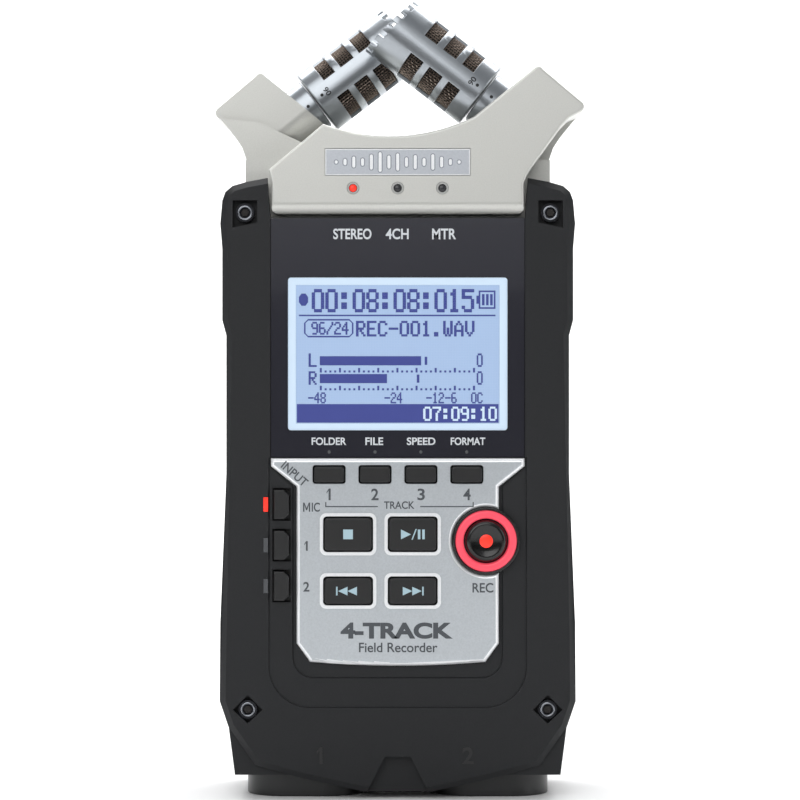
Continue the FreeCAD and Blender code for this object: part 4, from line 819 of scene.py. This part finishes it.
collarLine = [(3.6, -0.3), (5.35, -0.3), (5.5, -0.45), (5.5, -9.8), (3.6, -9.8), (3.6, -0.3)]
for sideName, side in (("left", -1), ("right", 1)):
    body = sideName + "_mic"
    barrel = finish(sideName + "Barrel", micBarrel(sideName + "Skin", side), barrelMetal, body,
                    sideName + "_mic_barrel", 40)
    wall = barrel.modifiers.new("wall", "SOLIDIFY")
    wall.thickness = barrelFacts["wall"] * mm
    wall.offset = -1
    wall.use_even_offset = True
    edge = barrel.modifiers.new("edge", "BEVEL")
    edge.width = barrelFacts["edge"] * mm
    edge.segments = 2
    edge.limit_method = "ANGLE"
    edge.angle_limit = math.radians(40)
    levelNormals(barrel)
    turned(sideName + "Collar", collarLine, micPlace(side), barrelMetal, bodyOf[sideName + "_mic_collar"],
           sideName + "_mic_collar", 96)
    tube, collar = barrelFacts["radius"] * mm, markFacts["collar"] * mm
    wrapOnBarrel(sideName + "BarrelDot", markDot(sideName + "Dot"), side, tube,
                 markFacts["barrelDot"] * mm, body)
    wrapOnBarrel(sideName + "CollarDot", markDot(sideName + "SecondDot"), side, collar,
                 markFacts["collarDot"] * mm, "root")
    wrapOnBarrel(sideName + "Ninety", markWords(sideName + "NinetyWord", "90"), side, tube,
                 markFacts["wordAlong"] * mm, body)
    woven = finish(sideName + "WovenMesh", weaveMesh(sideName + "Weave", side), meshWire, body)
    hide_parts(sideName + "_mic_mesh")
    finish(sideName + "FoamCore", innerTube(sideName + "Foam", side), foam, body)
print("mesh woven")


badge = {"heights": (0.7, 1.3, 2.2, 1.5, 3.0, 3.9, 2.6, 3.4, 1.9, 2.8, 1.6, 3.1, 2.1, 1.2, 0.7),
         "pitch": 1.72, "width": 0.62, "surround": 0.17, "rimWide": 14.15, "rimTall": 2.55, "rimLine": 0.16}


def pillShape(across, wide, tall, corners=5):
    # a bar with round ends
    radius = wide / 2
    rise = max(tall / 2 - radius, 0)
    turns = [math.pi * i / corners for i in range(corners + 1)]
    top = [(across + radius * math.cos(turn), rise + radius * math.sin(turn)) for turn in turns]
    return top + [(2 * across - x, -y) for x, y in top]


def badgeWave(grow):
    middle = (len(badge["heights"]) - 1) / 2
    return [pillShape((i - middle) * badge["pitch"], badge["width"] + 2 * grow, tall + 2 * grow)
            for i, tall in enumerate(badge["heights"])]


badgeLow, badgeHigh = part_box("badge_plate")
badgeMiddle = (badgeLow.z + badgeHigh.z) / 2
badgeFront = -badgeLow.y
flatShapes("badgeShadow", badgeWave(badge["surround"]), 0, badgeFront, badgeMiddle, badgeShade, "root",
           0.02 * mm)
flatShapes("badgeWave", badgeWave(0), 0, badgeFront, badgeMiddle, badgeBright, "root", 0.1 * mm)
wide, tall = badge["rimWide"], badge["rimTall"]
flatShapes("badgeRim", frameShapes(-wide, -tall, wide, tall, badge["rimLine"]), 0, badgeFront, badgeMiddle,
           badgeBright, "root", 0.06 * mm)


studio = {"floorWide": 3.0, "floorFront": -1.2, "sweepStart": 0.35, "sweepRadius": 0.5, "wallTop": 1.8,
          "card": {"wide": 0.7, "tall": 0.07, "front": -0.3, "middle": 0.075},
          # lights: (place, what it looks at, width, height, watts)
          "lights": {"keyLight": ((-0.35, -0.95, 0.62), (0, 0, 0.09), 1.1, 0.85, 6.0),
                     "fillLight": ((0.95, -0.5, 0.35), (0, 0, 0.08), 0.5, 0.7, 1.5),
                     "topLight": ((0.0, 0.05, 0.95), (0, 0, 0.1), 0.9, 0.5, 3.2),
                     "backLight": ((0.0, 0.5, 0.9), (0, 0.6, 0.0), 1.6, 0.6, 11.5)},
          "air": (0.95, 0.97, 1.0, 1), "airStrength": 0.3,
          "camera": {"lens": 137.8, "sensor": 36, "spot": (0.00045, -0.6175, 0.0784)}}


def sweepBackdrop():
    # floor and wall in one, joined by a quarter round behind the object
    bm = bmesh.new()
    profile = [(studio["floorFront"], 0.0), (studio["sweepStart"], 0.0)]
    for i in range(1, 13):
        turn = math.radians(90 * i / 12)
        profile.append((studio["sweepStart"] + studio["sweepRadius"] * math.sin(turn),
                        studio["sweepRadius"] * (1 - math.cos(turn))))
    profile.append((profile[-1][0], studio["wallTop"]))
    line = [bm.verts.new((-studio["floorWide"] / 2, y, z)) for y, z in profile]
    edges = [bm.edges.new((line[i], line[i + 1])) for i in range(len(line) - 1)]
    made = bmesh.ops.extrude_edge_only(bm, edges=edges)
    moved = [item for item in made["geom"] if isinstance(item, bmesh.types.BMVert)]
    bmesh.ops.translate(bm, verts=moved, vec=(studio["floorWide"], 0, 0))
    mesh = meshFrom(bm, "backdrop")
    for face in mesh.polygons:
        face.use_smooth = True
    material, shader = newMaterial("paleBackdrop", "#f4f4f4", {"Roughness": 0.9})
    mesh.materials.append(material)
    backdrop = bpy.data.objects.new("backdrop", mesh)
    bpy.context.scene.collection.objects.link(backdrop)


def softBox(name, spot, target, wide, tall, power):
    light = bpy.data.lights.new(name, "AREA")
    light.shape = "RECTANGLE"
    light.size = wide
    light.size_y = tall
    light.energy = power
    holder = bpy.data.objects.new(name, light)
    bpy.context.scene.collection.objects.link(holder)
    holder.location = spot
    holder.rotation_euler = (Vector(target) - Vector(spot)).to_track_quat("-Z", "Y").to_euler()


def flagCard():
    # a dark card before the object, hidden from the camera, puts the dark line into the bright tubes
    card = studio["card"]
    bm = bmesh.new()
    bmesh.ops.create_grid(bm, x_segments=1, y_segments=1, size=0.5)
    bmesh.ops.scale(bm, verts=bm.verts, vec=(card["wide"], card["tall"], 1))
    bmesh.ops.rotate(bm, verts=bm.verts, matrix=Matrix.Rotation(math.radians(90), 3, "X"))
    bmesh.ops.translate(bm, verts=bm.verts, vec=(0, card["front"], card["middle"]))
    mesh = meshFrom(bm, "flagCard")
    material, shader = newMaterial("blackFlagCloth", "#0a0a0a", {"Roughness": 0.9, "Specular IOR Level": 0.1})
    mesh.materials.append(material)
    flag = bpy.data.objects.new("flagCard", mesh)
    bpy.context.scene.collection.objects.link(flag)
    flag.visible_camera = False
    flag.visible_shadow = False
    flag.visible_diffuse = False


sweepBackdrop()
flagCard()
for name, facts in studio["lights"].items():
    softBox(name, *facts)
world = bpy.data.worlds.new("studioAir")
world.use_nodes = True
world.node_tree.nodes["Background"].inputs["Color"].default_value = studio["air"]
world.node_tree.nodes["Background"].inputs["Strength"].default_value = studio["airStrength"]
bpy.context.scene.world = world
bpy.context.scene.view_settings.view_transform = "Standard"

lens = bpy.data.cameras.new("viewer")
lens.lens = studio["camera"]["lens"]
lens.sensor_width = studio["camera"]["sensor"]
lens.clip_start = 0.05
viewer = bpy.data.objects.new("viewer", lens)
bpy.context.scene.collection.objects.link(viewer)
viewer.location = studio["camera"]["spot"]
viewer.rotation_euler = (math.radians(90), 0, 0)
bpy.context.scene.camera = viewer
print("studio ready")
